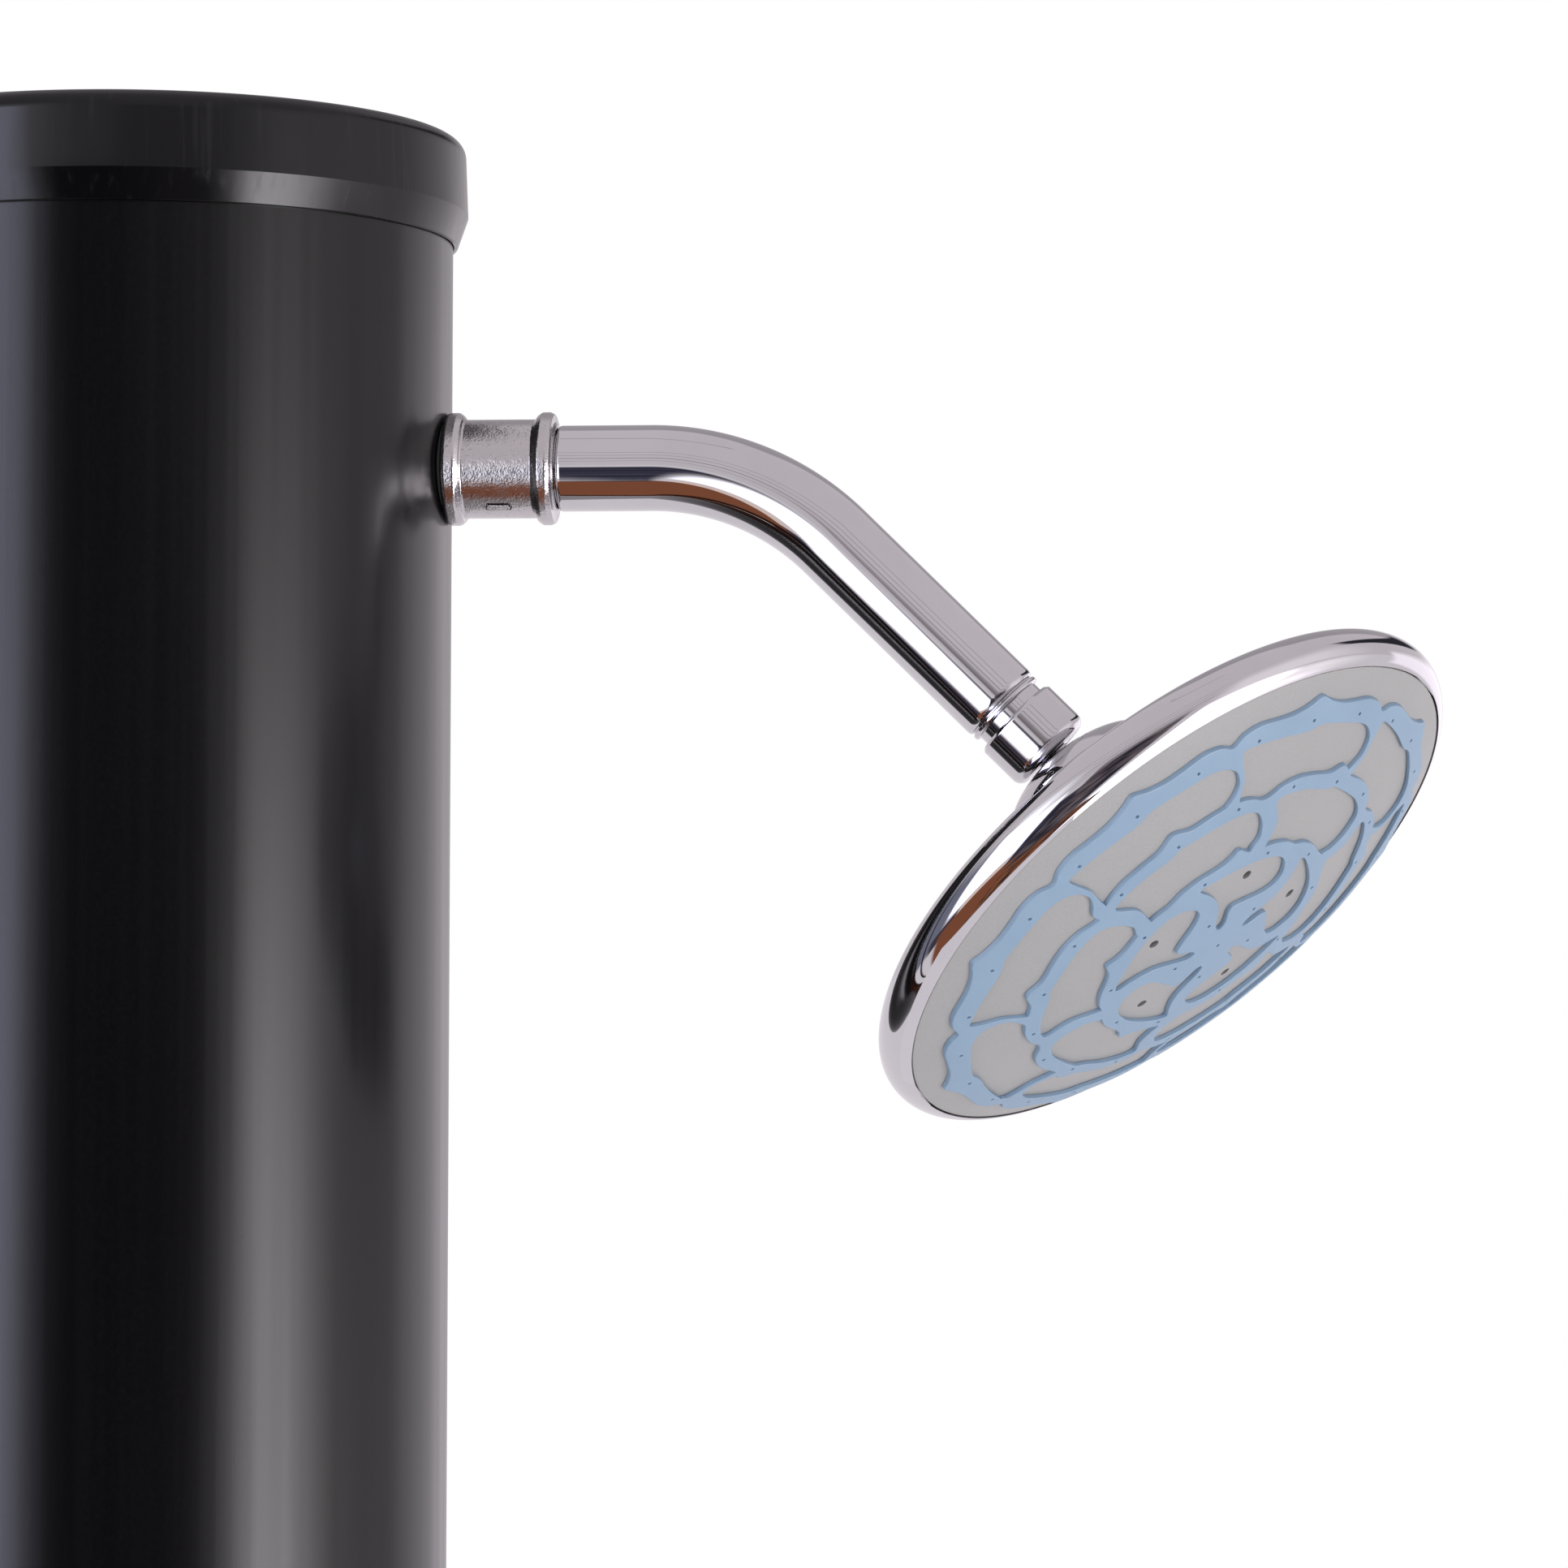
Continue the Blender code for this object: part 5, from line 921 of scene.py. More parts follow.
def border_loops(points, faces):
    """The closed lines round a set of faces, with the faces on their left."""
    ahead = {}
    directed = {(face[i], face[(i + 1) % len(face)]) for face in faces for i in range(len(face))}
    for a, b in directed:
        if (b, a) not in directed:
            ahead.setdefault(a, []).append(b)
    loops = []
    while ahead:
        start = next(iter(ahead))
        loop = [start]
        while True:
            here = loop[-1]
            following = ahead[here].pop()
            if not ahead[here]:
                del ahead[here]
            if following == start:
                break
            loop.append(following)
        loops.append([points[i] for i in loop])
    return loops


def thinned(loop):
    """A loop without points that crowd their neighbour."""
    kept = []
    for point in loop:
        if not kept or (point - kept[-1]).length > NET_CROWDING:
            kept.append(point)
    if (kept[-1] - kept[0]).length < NET_CROWDING:
        kept.pop()
    return kept


def moved_in(loop, by):
    """A loop moved to its left by a distance, at most twice that at sharp corners."""
    moved = []
    for a, b, c in zip(loop[-1:] + loop[:-1], loop, loop[1:] + loop[:1]):
        u = (b - a).normalized()
        v = (c - b).normalized()
        left = Vector((-u.y - v.y, u.x + v.x))
        if left.length < 1e-6:
            left = Vector((-u.y, u.x))
        left.normalize()
        share = max(0.5, left.dot(Vector((-u.y, u.x))))
        moved.append(b + left * (by / share))
    return moved


def net_lines():
    """The outlines of the net: its outer line and the lines round its openings, the net on their left."""
    outer = Outline(rosette(OUTER_EDGE, OUTER_PETALS))
    middle = Outline(rosette(MIDDLE_EDGE, MIDDLE_PETALS))
    inner = Outline(rosette(INNER_EDGE, INNER_PETALS))
    outer_cells = [Outline(c) for c in cells(OUTER_CELL, *OUTER_PETALS)]
    middle_cells = [Outline(c) for c in cells(MIDDLE_CELL, *MIDDLE_PETALS)]
    inner_cells = [Outline(c) for c in cells(INNER_CELL, INNER_PETALS[0], INNER_CELLS_FROM)]
    lines = [outer, middle, inner, *outer_cells, *middle_cells, *inner_cells]
    points, faces = triangles_between([line.loop for line in lines])

    def is_net(p):
        if not outer.holds(p) or any(c.holds(p) for c in inner_cells):
            return False
        if inner.holds(p):
            return True
        if middle.holds(p):
            return not any(c.holds(p) for c in middle_cells)
        return not any(c.holds(p) for c in outer_cells)

    net = [face for face in faces if is_net(middle_of(points, face))]
    return [loop for loop in map(thinned, border_loops(points, net)) if len(loop) > 8]


def nozzle_net():
    """The net on the face: rounded top edges, pinholes, laid on the plate's dome."""
    lines = net_lines()
    edge = [(NET_EDGE * (1 - math.cos(t)), NET_EDGE * (1 - math.sin(t)))
            for t in (math.radians(a) for a in (0, 30, 60, 90))]
    height = NET_HEIGHT * 1000
    levels = [(0.0, 0.0), *((out, height - down) for out, down in edge)]
    bm = bmesh.new()
    for loop in lines:
        rings = []
        for out, level in levels:
            ring = moved_in(loop, out) if out else loop
            rings.append([bm.verts.new((p.x, p.y, level)) for p in ring])
        skinned(bm, rings)
    reach = int(NET_GRID_REACH / NET_GRID)
    rows = range(-reach, reach + 1)
    grid = [Vector(((i + 0.5 * (j % 2)) * NET_GRID, j * NET_GRID * NET_ROWS)) for i in rows for j in rows]
    for out, level, extra in ((NET_EDGE, height, grid), (0.0, 0.0, [])):
        loops = [moved_in(loop, out) if out else loop for loop in lines]
        outlines = [Outline(loop) for loop in loops]
        clear = [Outline(moved_in(loop, NET_MARGIN)) for loop in loops]
        inner_points = [p for p in extra if sum(line.holds(p) for line in clear) % 2]
        points, faces = triangles_between(loops, inner_points)
        corners = {}
        for face in faces:
            if sum(line.holds(middle_of(points, face)) for line in outlines) % 2 == 0:
                continue
            for i in face:
                if i not in corners:
                    corners[i] = bm.verts.new((points[i].x, points[i].y, level))
            bm.faces.new([corners[i] for i in face])
    net = finished_mesh("nozzle_net", bm, merge=1e-4)
    for count, ring, first in PINHOLES:
        net = bored(net, SILICONE, count, ring, first, PINHOLE_RADIUS, PINHOLE_FLOOR, height + 1)
    for vertex in net.vertices:
        x, y, z = vertex.co * 0.001
        vertex.co = (x, y, z + dome(math.hypot(x, y)) + NET_GAP)
    net.transform(HEAD)
    piece(smoothed(net), "head", SILICONE, "nozzle_mat_blue", "nozzle_mat")


# Arm, swivel and socket

def arm_route():
    """The arm's centre line and radius: chamfered start, straight run, bend, slanted run, lip and spigot."""
    tangent = ARM_BEND_RADIUS * math.tan(ARM_BEND / 2)
    centre = Vector((ARM_CORNER.x - tangent, 0, ARM_HEIGHT - ARM_BEND_RADIUS))
    chamfer = (
        (0, 0.0098), (0.0001, 0.0103), (0.0003, 0.0107), (0.0006, 0.0109), (0.0010, ARM_RADIUS),
        (0.0014, ARM_RADIUS),
    )
    route = [(Vector((ARM_START + out, 0, ARM_HEIGHT)), radius) for out, radius in chamfer]
    full = ARM_START + 0.001
    for i in range(1, 6):
        route.append((Vector((full + (centre.x - full) * i / 6, 0, ARM_HEIGHT)), ARM_RADIUS))
    for i in range(49):
        t = ARM_BEND * i / 48
        route.append((centre + ARM_BEND_RADIUS * Vector((math.sin(t), 0, math.cos(t))), ARM_RADIUS))
    ends = (
        (0.0450, ARM_RADIUS), (0.0650, ARM_RADIUS), (0.0850, ARM_RADIUS), (0.0855, ARM_RADIUS),
        (0.0863, 0.0109), (0.0868, 0.0106), (0.0870, 0.0102), (0.0871, 0.0100), (0.0873, 0.0100),
        (0.0874, 0.0103), (0.0877, 0.0107), (0.0882, 0.0108), (0.0886, 0.0107), (0.0889, 0.0104),
        (ARM_END, 0.0100), (0.0891, 0.0096), (0.0990, 0.0096),
    )
    route.extend((ARM_CORNER + ARM_DIRECTION * out, radius) for out, radius in ends)
    return route


def shower_arm():
    """The arm and the thread that screws into the socket."""
    arm = rod("shower_arm_bent", arm_route(), CHROME, ROUND)
    thread = [(0.0078, 0.0956), (0.0097, 0.0956), (0.0097, 0.1098), (0.0078, 0.1098)]
    spigot = turned_mesh("arm_thread", thread, FRONT_OUTLET, SMALL)
    piece(joined("shower_arm_bent", arm, spigot), "column", CHROME, "chrome", "shower_arm")


def swivel():
    """The swivel nut, its ringed end face, the neck and the ball, turned from one bar."""
    ball = arc((0, 0), BALL_RADIUS, -76, 64, 24)
    rings = []
    for radius in (0.0059, 0.0070, 0.0081):
        rings.extend(((radius - 0.0002, 0.0148), (radius, 0.0151), (radius + 0.0002, 0.0148)))
    section = [
        *ball, (0.0046, 0.0148, 0.0007), *rings, *arc((0.0089, 0.0176), 0.0028, -90, 0, 14),
        (0.0117, 0.0184), (0.0117, 0.0272), (0.0117, 0.0276, 0.0004), (0.0109, 0.0284, 0.0003),
        (0.0099, 0.0284), (0.0099, 0.0169), (0.0026, 0.0169), (0.0026, -0.0100),
    ]
    turned_piece("swivel_nut_and_ball", section, BACK_ALONG_ARM, ROUND, CHROME, "chrome", "swivel_ball")


def on_barrel(name, rings):
    """A long shape low on the socket's side, through rings of (half length, half width, height)."""
    loft = []
    for long, wide, out in rings:
        radius = BARREL_RADIUS + out
        ring = []
        for x, y in ((-1, 0), (-0.84, -1), (0.84, -1), (1, 0), (0.84, 1), (-0.84, 1)):
            at = TAB_ANGLE + y * wide / BARREL_RADIUS
            height = ARM_HEIGHT + radius * math.sin(at)
            ring.append(Vector((TAB_MIDDLE + x * long, -radius * math.cos(at), height)))
        loft.append(ring)
    return lofted_mesh(name, loft)


def outlet_socket():
    """The cast socket: two beads, a rough barrel, and the mould's raised tab in a recess low on the side."""
    section = rounded([
        (0.0100, 0.0800), (0.0138, 0.0800, 0.0004), (BEAD_RADIUS, 0.0807, 0.0010),
        (BEAD_RADIUS, 0.0832, 0.0012), (0.0136, 0.0843, 0.0006), (BARREL_RADIUS, 0.0848, 0.0008),
        (BARREL_RADIUS, 0.1029, 0.0008), (0.0137, 0.1036, 0.0006), (BEAD_RADIUS, 0.1047, 0.0012),
        (BEAD_RADIUS, 0.1066, 0.0010), (0.0139, 0.1077, 0.0005), (0.0120, 0.1079, 0.0004),
        (0.0112, 0.1084, 0.0003), (0.0103, 0.1084),
    ])
    socket = cut(turned_mesh("outlet_socket_cast", section, FRONT_OUTLET, ROUND), tank_space(ARM_HEIGHT))
    recess = ((0.0036, 0.00125, -0.0007), (0.00385, 0.0015, 0.0010))
    socket = cut(socket, on_barrel("tab_recess", recess))
    tab = on_barrel("tab", (
        (0.00315, 0.00085, -0.0010), (0.00315, 0.00085, 0.0003), (0.0030, 0.00065, 0.00045),
    ))
    piece(joined("outlet_socket_cast", socket, tab), "column", CAST, "cast_nickel", "outlet_socket")


def saddle(name, outer, hole, front, place, height, stands_for):
    """A rubber ring with a flat front whose back follows the tank's tube."""
    section = rounded([(hole, BEHIND_WALL), (hole, front), (outer, front, 0.0003), (outer, BEHIND_WALL)])
    ring = cut(turned_mesh(name, section, place, SMALL), tank_space(height))
    piece(ring, "column", RUBBER, "black_rubber", stands_for)


# Column

def end_cap():
    """The push-on cap: flat top, rounded edge, side that widens downward, and the bright chamfer under it."""
    edge = [
        (CAP_FLAT + CAP_EDGE * math.sin(t), HEIGHT - CAP_EDGE * (1 - math.cos(t)))
        for t in (math.radians(a) for a in range(0, 91, 9))
    ]
    under = HEIGHT - CAP_THICKNESS
    mouth = HEIGHT - CAP_DEPTH
    section = [
        (0, HEIGHT), (0.03, HEIGHT), (0.06, HEIGHT), *edge, (0.0839, HEIGHT - 0.0197, 0.0005),
        (0.0812, mouth, 0.0005), (OVER_TUBE, mouth), (OVER_TUBE, under), (0, under),
    ]
    turned_piece("end_cap_moulded", section, UPRIGHT, FINE, CAP_BLACK, "cap_gloss_black", "end_cap")


def wall_hole(radius, place):
    """What is drilled out of the tube's wall."""
    start = TUBE_BORE - 0.010
    end = TUBE_RADIUS + 0.010
    return turned_mesh("hole", [(0, start), (0, end), (radius, end), (radius, start)], place, SMALL)


def tank_tube(name, low, high, levels, holes, stands_for):
    """A length of the tank's tube, with rings of points at some levels and holes for what goes through."""
    outside = [(TUBE_RADIUS, z) for z in (high, *reversed(levels), low)]
    section = [(TUBE_BORE, low), (TUBE_BORE, high), *outside]
    tube = cut(turned_mesh(name, section, UPRIGHT, FINE), *holes)
    piece(tube, "column", TUBE_BLACK, "tank_black_pvc", stands_for)


def tubes():
    """The tank's lower and upper length."""
    tank_tube(
        "lower_tube_drawn", BASE_THICKNESS + SEAT, UNION_HEIGHT - TUBE_END, (0.08, 0.16, 0.26, 0.34, 0.6),
        [wall_hole(0.0138, BACK_INLET), wall_hole(0.0111, SIDE_DRAIN), wall_hole(0.0109, FRONT_FOOT_TAP)],
        "lower_tube",
    )
    tank_tube(
        "upper_tube_drawn", UNION_HEIGHT + TUBE_END, HEIGHT - CAP_THICKNESS - SEAT,
        (1.1, 1.2, 1.5, 1.8, 2.05, 2.12),
        [wall_hole(0.0221, FRONT_MIXER), wall_hole(0.0106, FRONT_OUTLET)],
        "upper_tube",
    )


def tube_union():
    """The screwed joint: a ring glued on each tube and the nut with hollows to grip."""
    z = UNION_HEIGHT
    lower = [
        (OVER_TUBE, z - 0.050), (COLLAR_RADIUS, z - 0.050, 0.0015), (COLLAR_RADIUS, z, 0.0003),
        (OVER_TUBE, z),
    ]
    upper = [
        (OVER_TUBE, z + 0.002), (0.0913, z + 0.002, 0.0003), (0.0913, z + 0.008, 0.0005),
        (COLLAR_RADIUS, z + 0.008, 0.0005), (COLLAR_RADIUS, z + 0.050, 0.0015), (OVER_TUBE, z + 0.050),
    ]
    for side, section in (("lower", lower), ("upper", upper)):
        turned_piece(
            f"union_ring_{side}_turned", section, UPRIGHT, FINE, PLASTIC_BLACK, "black_plastic",
            f"union_{side}_ring",
        )
    bore = COLLAR_RADIUS + SEAT
    nut = [
        (bore, z - 0.044), (0.0975, z - 0.044, 0.002), (0.101, z - 0.040, 0.0025),
        (0.101, z + 0.0118, 0.0025), (0.0985, z + 0.0153, 0.0015), (bore, z + 0.0153, 0.0006),
        (bore, z + 0.0085), (0.0916, z + 0.0085), (0.0916, z + 0.0017), (bore, z + 0.0017),
    ]
    turned_piece(
        "union_nut_gripped", nut, UPRIGHT, FINE * 2, PLASTIC_BLACK, "black_plastic", "union_nut",
        scallops(0.1010, 12, 0.0032, 0.42),
    )


def base_plate():
    """The foot: a round plate with a collar for the tube, eight ribs and four countersunk bolt holes."""
    collar = COLLAR_RADIUS
    edge = BASE_RADIUS
    top = BASE_THICKNESS
    section = rounded([
        (0, 0), (edge - 0.001, 0, 0.0005), (edge, 0.001, 0.0005), (edge, top - 0.003, 0.002),
        (edge - 0.003, top, 0.002), (0.152, top), (0.128, top), (collar, top, 0.0025),
        (collar, COLLAR_HEIGHT - 0.003, 0.0015), (collar - 0.003, COLLAR_HEIGHT, 0.0015),
        (OVER_TUBE, COLLAR_HEIGHT), (OVER_TUBE, top), (0, top),
    ])
    plate = turned_mesh("base_plate_moulded", section, UPRIGHT, FINE)
    sink = rounded([
        (0, -0.01), (0.0055, -0.01), (0.0055, 0.0078, 0.0004), (0.0085, 0.0105), (0.0085, 0.02), (0, 0.02),
    ])
    at = BOLT_CIRCLE_RADIUS * math.cos(math.pi / 4)
    drill = turned_mesh("bolt_hole", sink, Matrix.Translation((at, at, 0)), COARSE)
    plate = cut(plate, round_axis(drill, BOLTS, PLASTIC_BLACK))
    ribs = round_axis(rib_mesh(), RIBS, PLASTIC_BLACK, first_angle=math.pi / RIBS)
    piece(joined("base_plate_moulded", plate, ribs), "column", PLASTIC_BLACK, "black_plastic", "base_plate")


def rib_mesh():
    """One rib of the base, with a hollowed slope and rounded edges."""
    foot = 0.0095
    toe = 0.154
    toe_height = 0.015
    head_height = 0.062
    root = 0.0865
    shoulder = 0.0870
    thickness = 0.006
    slope = []
    for i in range(13):
        t = i / 12
        rise = (head_height - toe_height) * (0.65 * t + 0.35 * t * t)
        slope.append((toe - (toe - shoulder) * t, toe_height + rise))
    outline = [(root, foot), (toe, foot), *slope, (root, slope[-1][1])]
    bm = bmesh.new()
    side = [bm.verts.new((x, -thickness / 2, z)) for x, z in outline]
    face = bm.faces.new(side)
    grown_side = bmesh.ops.extrude_face_region(bm, geom=[face])
    far = [v for v in grown_side["geom"] if isinstance(v, bmesh.types.BMVert)]
    bmesh.ops.translate(bm, verts=far, vec=(0, thickness, 0))
    bmesh.ops.recalc_face_normals(bm, faces=bm.faces)
    long_edges = [e for e in bm.edges if abs(e.verts[0].co.y - e.verts[1].co.y) < 1e-6]
    bmesh.ops.bevel(bm, geom=long_edges, offset=0.0012, segments=3, profile=0.6, affect="EDGES")
    return finished_mesh("rib", bm)


# Mixer

def mixer():
    """The mixer's fixed pieces: dished rosette, body and the ball cover."""
    dish = rounded([
        (0.0218, BEHIND_WALL), (0.0218, 0.0840), (0.0290, 0.0840, 0.002), (0.0320, 0.0828, 0.0015),
        (0.0340, 0.0800, 0.001), (0.0340, BEHIND_WALL),
    ])
    plate = cut(turned_mesh("mixer_rosette_dished", dish, FRONT_MIXER, ROUND), tank_space(MIXER_HEIGHT))
    piece(plate, "column", CHROME, "chrome", "mixer_rosette")
    body = rounded([
        (0, 0.060), (0.0215, 0.060), (0.0215, 0.0843), (0.0250, 0.0843, 0.0006), (0.0250, 0.0900, 0.0003),
        (0.0246, 0.0905), (0.0250, 0.0910, 0.0003), (0.0250, 0.1180, 0.0006), (0.0210, 0.1180),
        (0.0210, 0.1260), (0.0175, 0.1260), (0.0175, 0.0917), (0, 0.0917),
    ])
    nipple = rounded([
        (0, 0.041), (0.0040, 0.041, 0.0004), (0.0045, 0.0425, 0.0004), (0.0045, 0.062), (0, 0.062),
    ])
    tails = []
    for y, z in ((-0.009, -0.0072), (0.009, -0.0072), (0, 0.009)):
        place = along((1, 0, 0), (0, y, MIXER_HEIGHT + z))
        tails.append(turned_mesh("tail", nipple, place, COARSE))
    whole = joined("mixer_body_turned", turned_mesh("body", body, FRONT_MIXER, ROUND), *tails)
    piece(whole, "column", CHROME, "chrome", "mixer_body")
    pivot = (0, MIXER_PIVOT)
    mouth = 0.0155
    seat = 0.0063
    outer_end = math.degrees(math.acos(mouth / COVER_RADIUS))
    inner_end = math.degrees(math.acos(mouth / COVER_BORE))
    inner_start = math.degrees(math.asin(seat / COVER_BORE))
    cover = [
        (COVER_RADIUS, 0.1183, 0.0004), *arc(pivot, COVER_RADIUS, 2, outer_end, 20),
        *arc(pivot, COVER_BORE, inner_end, inner_start, 10), (0.0213, 0.1263), (0.0213, 0.1183),
    ]
    turned_piece("mixer_ball_cover", cover, FRONT_MIXER, ROUND, CHROME, "chrome", "mixer_cover")


def mixer_lever():
    """The lever: a shell over the ball cover, with a blade that swells, thins and lifts at its tip."""
    rim = 28.0
    recess = 0.0053
    recess_depth = 0.0012
    screw_hole = 0.0021
    crown = [p for p in arc((0, 0), LEVER_RADIUS, rim, 90, 40) if p[0] > recess]
    hollow = [p for p in arc((0, 0), LEVER_BORE, 90, rim, 40) if p[0] > screw_hole]
    recess_floor = math.sqrt(LEVER_RADIUS**2 - recess**2) - recess_depth
    head_floor = recess_floor - 0.0021
    face = recess_floor + recess_depth
    section = rounded([
        *crown, (recess, face, 0.0003), (recess, recess_floor), (0.0039, recess_floor), (0.0039, head_floor),
        (screw_hole, head_floor), *hollow,
    ])
    shell = turned_mesh("shell", section, LEVER, ROUND)
    rings = []
    low = LEVER_BORE * math.sin(math.radians(rim)) - 0.0016
    # Rings of the blade from the shell to its tip: (reach, half width, half thickness, height of its middle)
    for reach, wide, thick, middle in (
        (0.0225, 0.0062, 0.0030, 0.0036), (0.030, 0.0064, 0.0031, 0.0036), (0.040, 0.0062, 0.0030, 0.0036),
        (0.052, 0.0059, 0.0029, 0.0036), (0.064, 0.0056, 0.0028, 0.0037), (0.074, 0.0053, 0.0028, 0.0038),
        (0.081, 0.0050, 0.0027, 0.0039), (0.0855, 0.0043, 0.0025, 0.0040), (0.0882, 0.0032, 0.0020, 0.0040),
        (0.0896, 0.0018, 0.0012, 0.0040),
    ):
        oval = squared_oval(wide, thick, 32, 0.55, 0.62)
        rings.append([LEVER @ Vector((reach, across, low + middle + up)) for across, up in oval])
    ball = [(0, -LEVER_BORE), *arc((0, 0), LEVER_BORE, -85, 85, 40), (0, LEVER_BORE)]
    blade = cut(lofted_mesh("blade", rings), turned_mesh("ball_space", ball, LEVER, ROUND))
    handle = cut(shell, blade, operation="UNION")
    handle.name = "mixer_lever_shaped"
    piece(handle, "mixer_lever", CHROME, "chrome", "mixer_lever")
    plug = rounded([
        (0, face + 0.0004), (0.0030, face + 0.00037), (0.0042, face + 0.0003, 0.0002),
        (0.0050, face - 0.0001, 0.0002), (0.0050, recess_floor + SEAT), (0, recess_floor + SEAT),
    ])
    marked = turned_mesh("index_plug_marked", plug, LEVER, SMALL)
    piece(marked, "mixer_lever", INDEX, "white_plastic", "index_plug")


# Foot tap

def foot_tap():
    """The tap's body: flange, barrel, boss and a spout that curves down to a rolled mouth."""
    nose = FOOT_TAP_STEM + 0.0115
    body = turned_mesh("body", rounded([
        (0, 0.060), (0.0103, 0.060), (0.0103, GASKET_FRONT), (0.0170, GASKET_FRONT, 0.0005),
        (0.0170, 0.0847, 0.0006), (0.0150, 0.0857, 0.0008), (0.0108, 0.0857, 0.0015), (0.0100, 0.0885, 0.002),
        (0.0100, nose - 0.001, 0.0008), (0.0090, nose, 0.0004), (0, nose),
    ]), FRONT_FOOT_TAP, SMALL * 2)
    boss = turned_mesh("boss", rounded([
        (0, -0.0045), (0.0085, -0.0045, 0.0015), (0.0115, 0.0, 0.002), (0.0115, 0.0215, 0.0006),
        (0.0110, 0.0222), (0.0115, 0.0229, 0.0003), (0.0115, 0.0240, 0.0004), (0.0038, 0.0240),
        (0.0038, 0.0060), (0, 0.0060),
    ]), TAP_STEM, SMALL * 2)
    mouth = Vector((FOOT_TAP_STEM + 0.0280, 0, FOOT_TAP_HEIGHT - 0.0380))
    corners = (
        Vector((FOOT_TAP_STEM, 0, FOOT_TAP_HEIGHT)), Vector((mouth.x + 0.001, 0, FOOT_TAP_HEIGHT + 0.002)),
        Vector((mouth.x, 0, FOOT_TAP_HEIGHT - 0.010)), mouth,
    )
    route = []
    for i in range(33):
        t = i / 32
        shares = ((1 - t)**3, 3 * t * (1 - t)**2, 3 * t * t * (1 - t), t**3)
        point = sum((corner * share for corner, share in zip(corners, shares)), Vector((0, 0, 0)))
        route.append((point, 0.0090 if t > 0.86 else 0.0086))
    spout = rod("spout", route, CHROME, SMALL)
    bore = [(0, -0.01), (0, 0.020), (0.0062, 0.020), (0.0062, -0.01)]
    spindle_space = [(0, 0.0060), (0, 0.03), (0.0038, 0.03), (0.0038, 0.0060)]
    spout = cut(
        spout, turned_mesh("bore", bore, Matrix.Translation(mouth), SMALL),
        turned_mesh("spindle_space", spindle_space, TAP_STEM, SMALL),
    )
    piece(joined("foot_tap_body_cast", body, boss, spout), "column", CHROME, "chrome", "foot_tap_body")
    bonnet = [
        (0.0040, 0.0243), (0.0103, 0.0243), (0.0117, 0.0250, 0.0003), (0.0117, 0.0326, 0.0003),
        (0.0103, 0.0333), (0.0040, 0.0333),
    ]
    turned_piece(
        "foot_tap_bonnet_hex", bonnet, TAP_STEM, ROUND, CHROME, "chrome", "foot_tap_bonnet", hexagon(0.0115)
    )


def foot_tap_handle():
    """The quarter-turn handle: a domed hub and a wing for the toe."""
    hub = turned_mesh("hub", rounded([
        (0.0038, 0.0336), (0.0086, 0.0336, 0.0005), (0.0090, 0.0345, 0.0005), (0.0090, 0.0418, 0.001),
        (0.0070, 0.0434, 0.001), (0.0038, 0.0434),
    ]), TAP_STEM, SMALL * 2)
    rings = []
    middle = 0.0386
    # Rings of the wing from the hub to its end: (reach, half width, half thickness)
    for reach, wide, thick in (
        (0.0066, 0.0038, 0.0026), (0.012, 0.0046, 0.0026), (0.020, 0.0052, 0.0027), (0.030, 0.0057, 0.0028),
        (0.037, 0.0058, 0.0029), (0.0405, 0.0053, 0.0028), (0.0427, 0.0040, 0.0023), (0.0437, 0.0022, 0.0014),
    ):
        oval = squared_oval(wide, thick, 28, 0.6, 0.7)
        rings.append([TAP_STEM @ Vector((across, reach, middle + up)) for across, up in oval])
    handle = joined("foot_tap_handle_winged", hub, lofted_mesh("wing", rings))
    piece(handle, "foot_tap_handle", CHROME, "chrome", "foot_tap_handle")


# Hose inlet and drain

def hose_inlet():
    """The threaded inlet and the push-on connector, with its grip and the groove that a hose clicks into."""
    flange = 0.0862
    pitch = 0.0026
    thread = []
    for i in range(4):
        at = flange + pitch * (i + 0.5)
        thread.extend(((0.0122, at - 0.0008), (0.0132, at)))
    fitting = [
        (0.0060, 0.0982), (0.0128, 0.0982, 0.0003), *reversed(thread), (0.0132, flange),
        (0.0182, flange, 0.0006), (0.0190, 0.0852, 0.0006), (0.0190, GASKET_FRONT, 0.0004),
        (0.0132, GASKET_FRONT), (0.0132, 0.060), (0.0075, 0.060), (0.0075, 0.041), (0.0045, 0.041),
        (0.0045, 0.053), (0.0060, 0.053),
    ]
    turned_piece("inlet_fitting_turned", fitting, BACK_INLET, SMALL * 2, BRASS, "brass", "inlet_fitting")
    end = 0.1035
    nose = end + 0.024
    connector = [
        (0.0135, 0.0865), (0.0165, 0.0865, 0.0005), (0.0170, 0.0875, 0.0005), (0.0170, end - 0.002, 0.0012),
        (0.0150, end, 0.0008), (0.0095, end, 0.001), (0.0080, end + 0.002, 0.0006),
        (0.0080, end + 0.009, 0.0003), (0.0068, end + 0.0102, 0.0004), (0.0068, end + 0.0130, 0.0004),
        (0.0080, end + 0.0142, 0.0003), (0.0080, nose - 0.003, 0.0006), (0.0062, nose, 0.0005),
        (0.0050, nose), (0.0050, 0.0985), (0.0135, 0.0985),
    ]
    turned_piece(
        "inlet_connector_gripped", connector, BACK_INLET, ROUND * 3, PLASTIC_BLACK, "black_plastic",
        "inlet_connector", scallops(0.0170, 24, 0.0007, 0.6),
    )


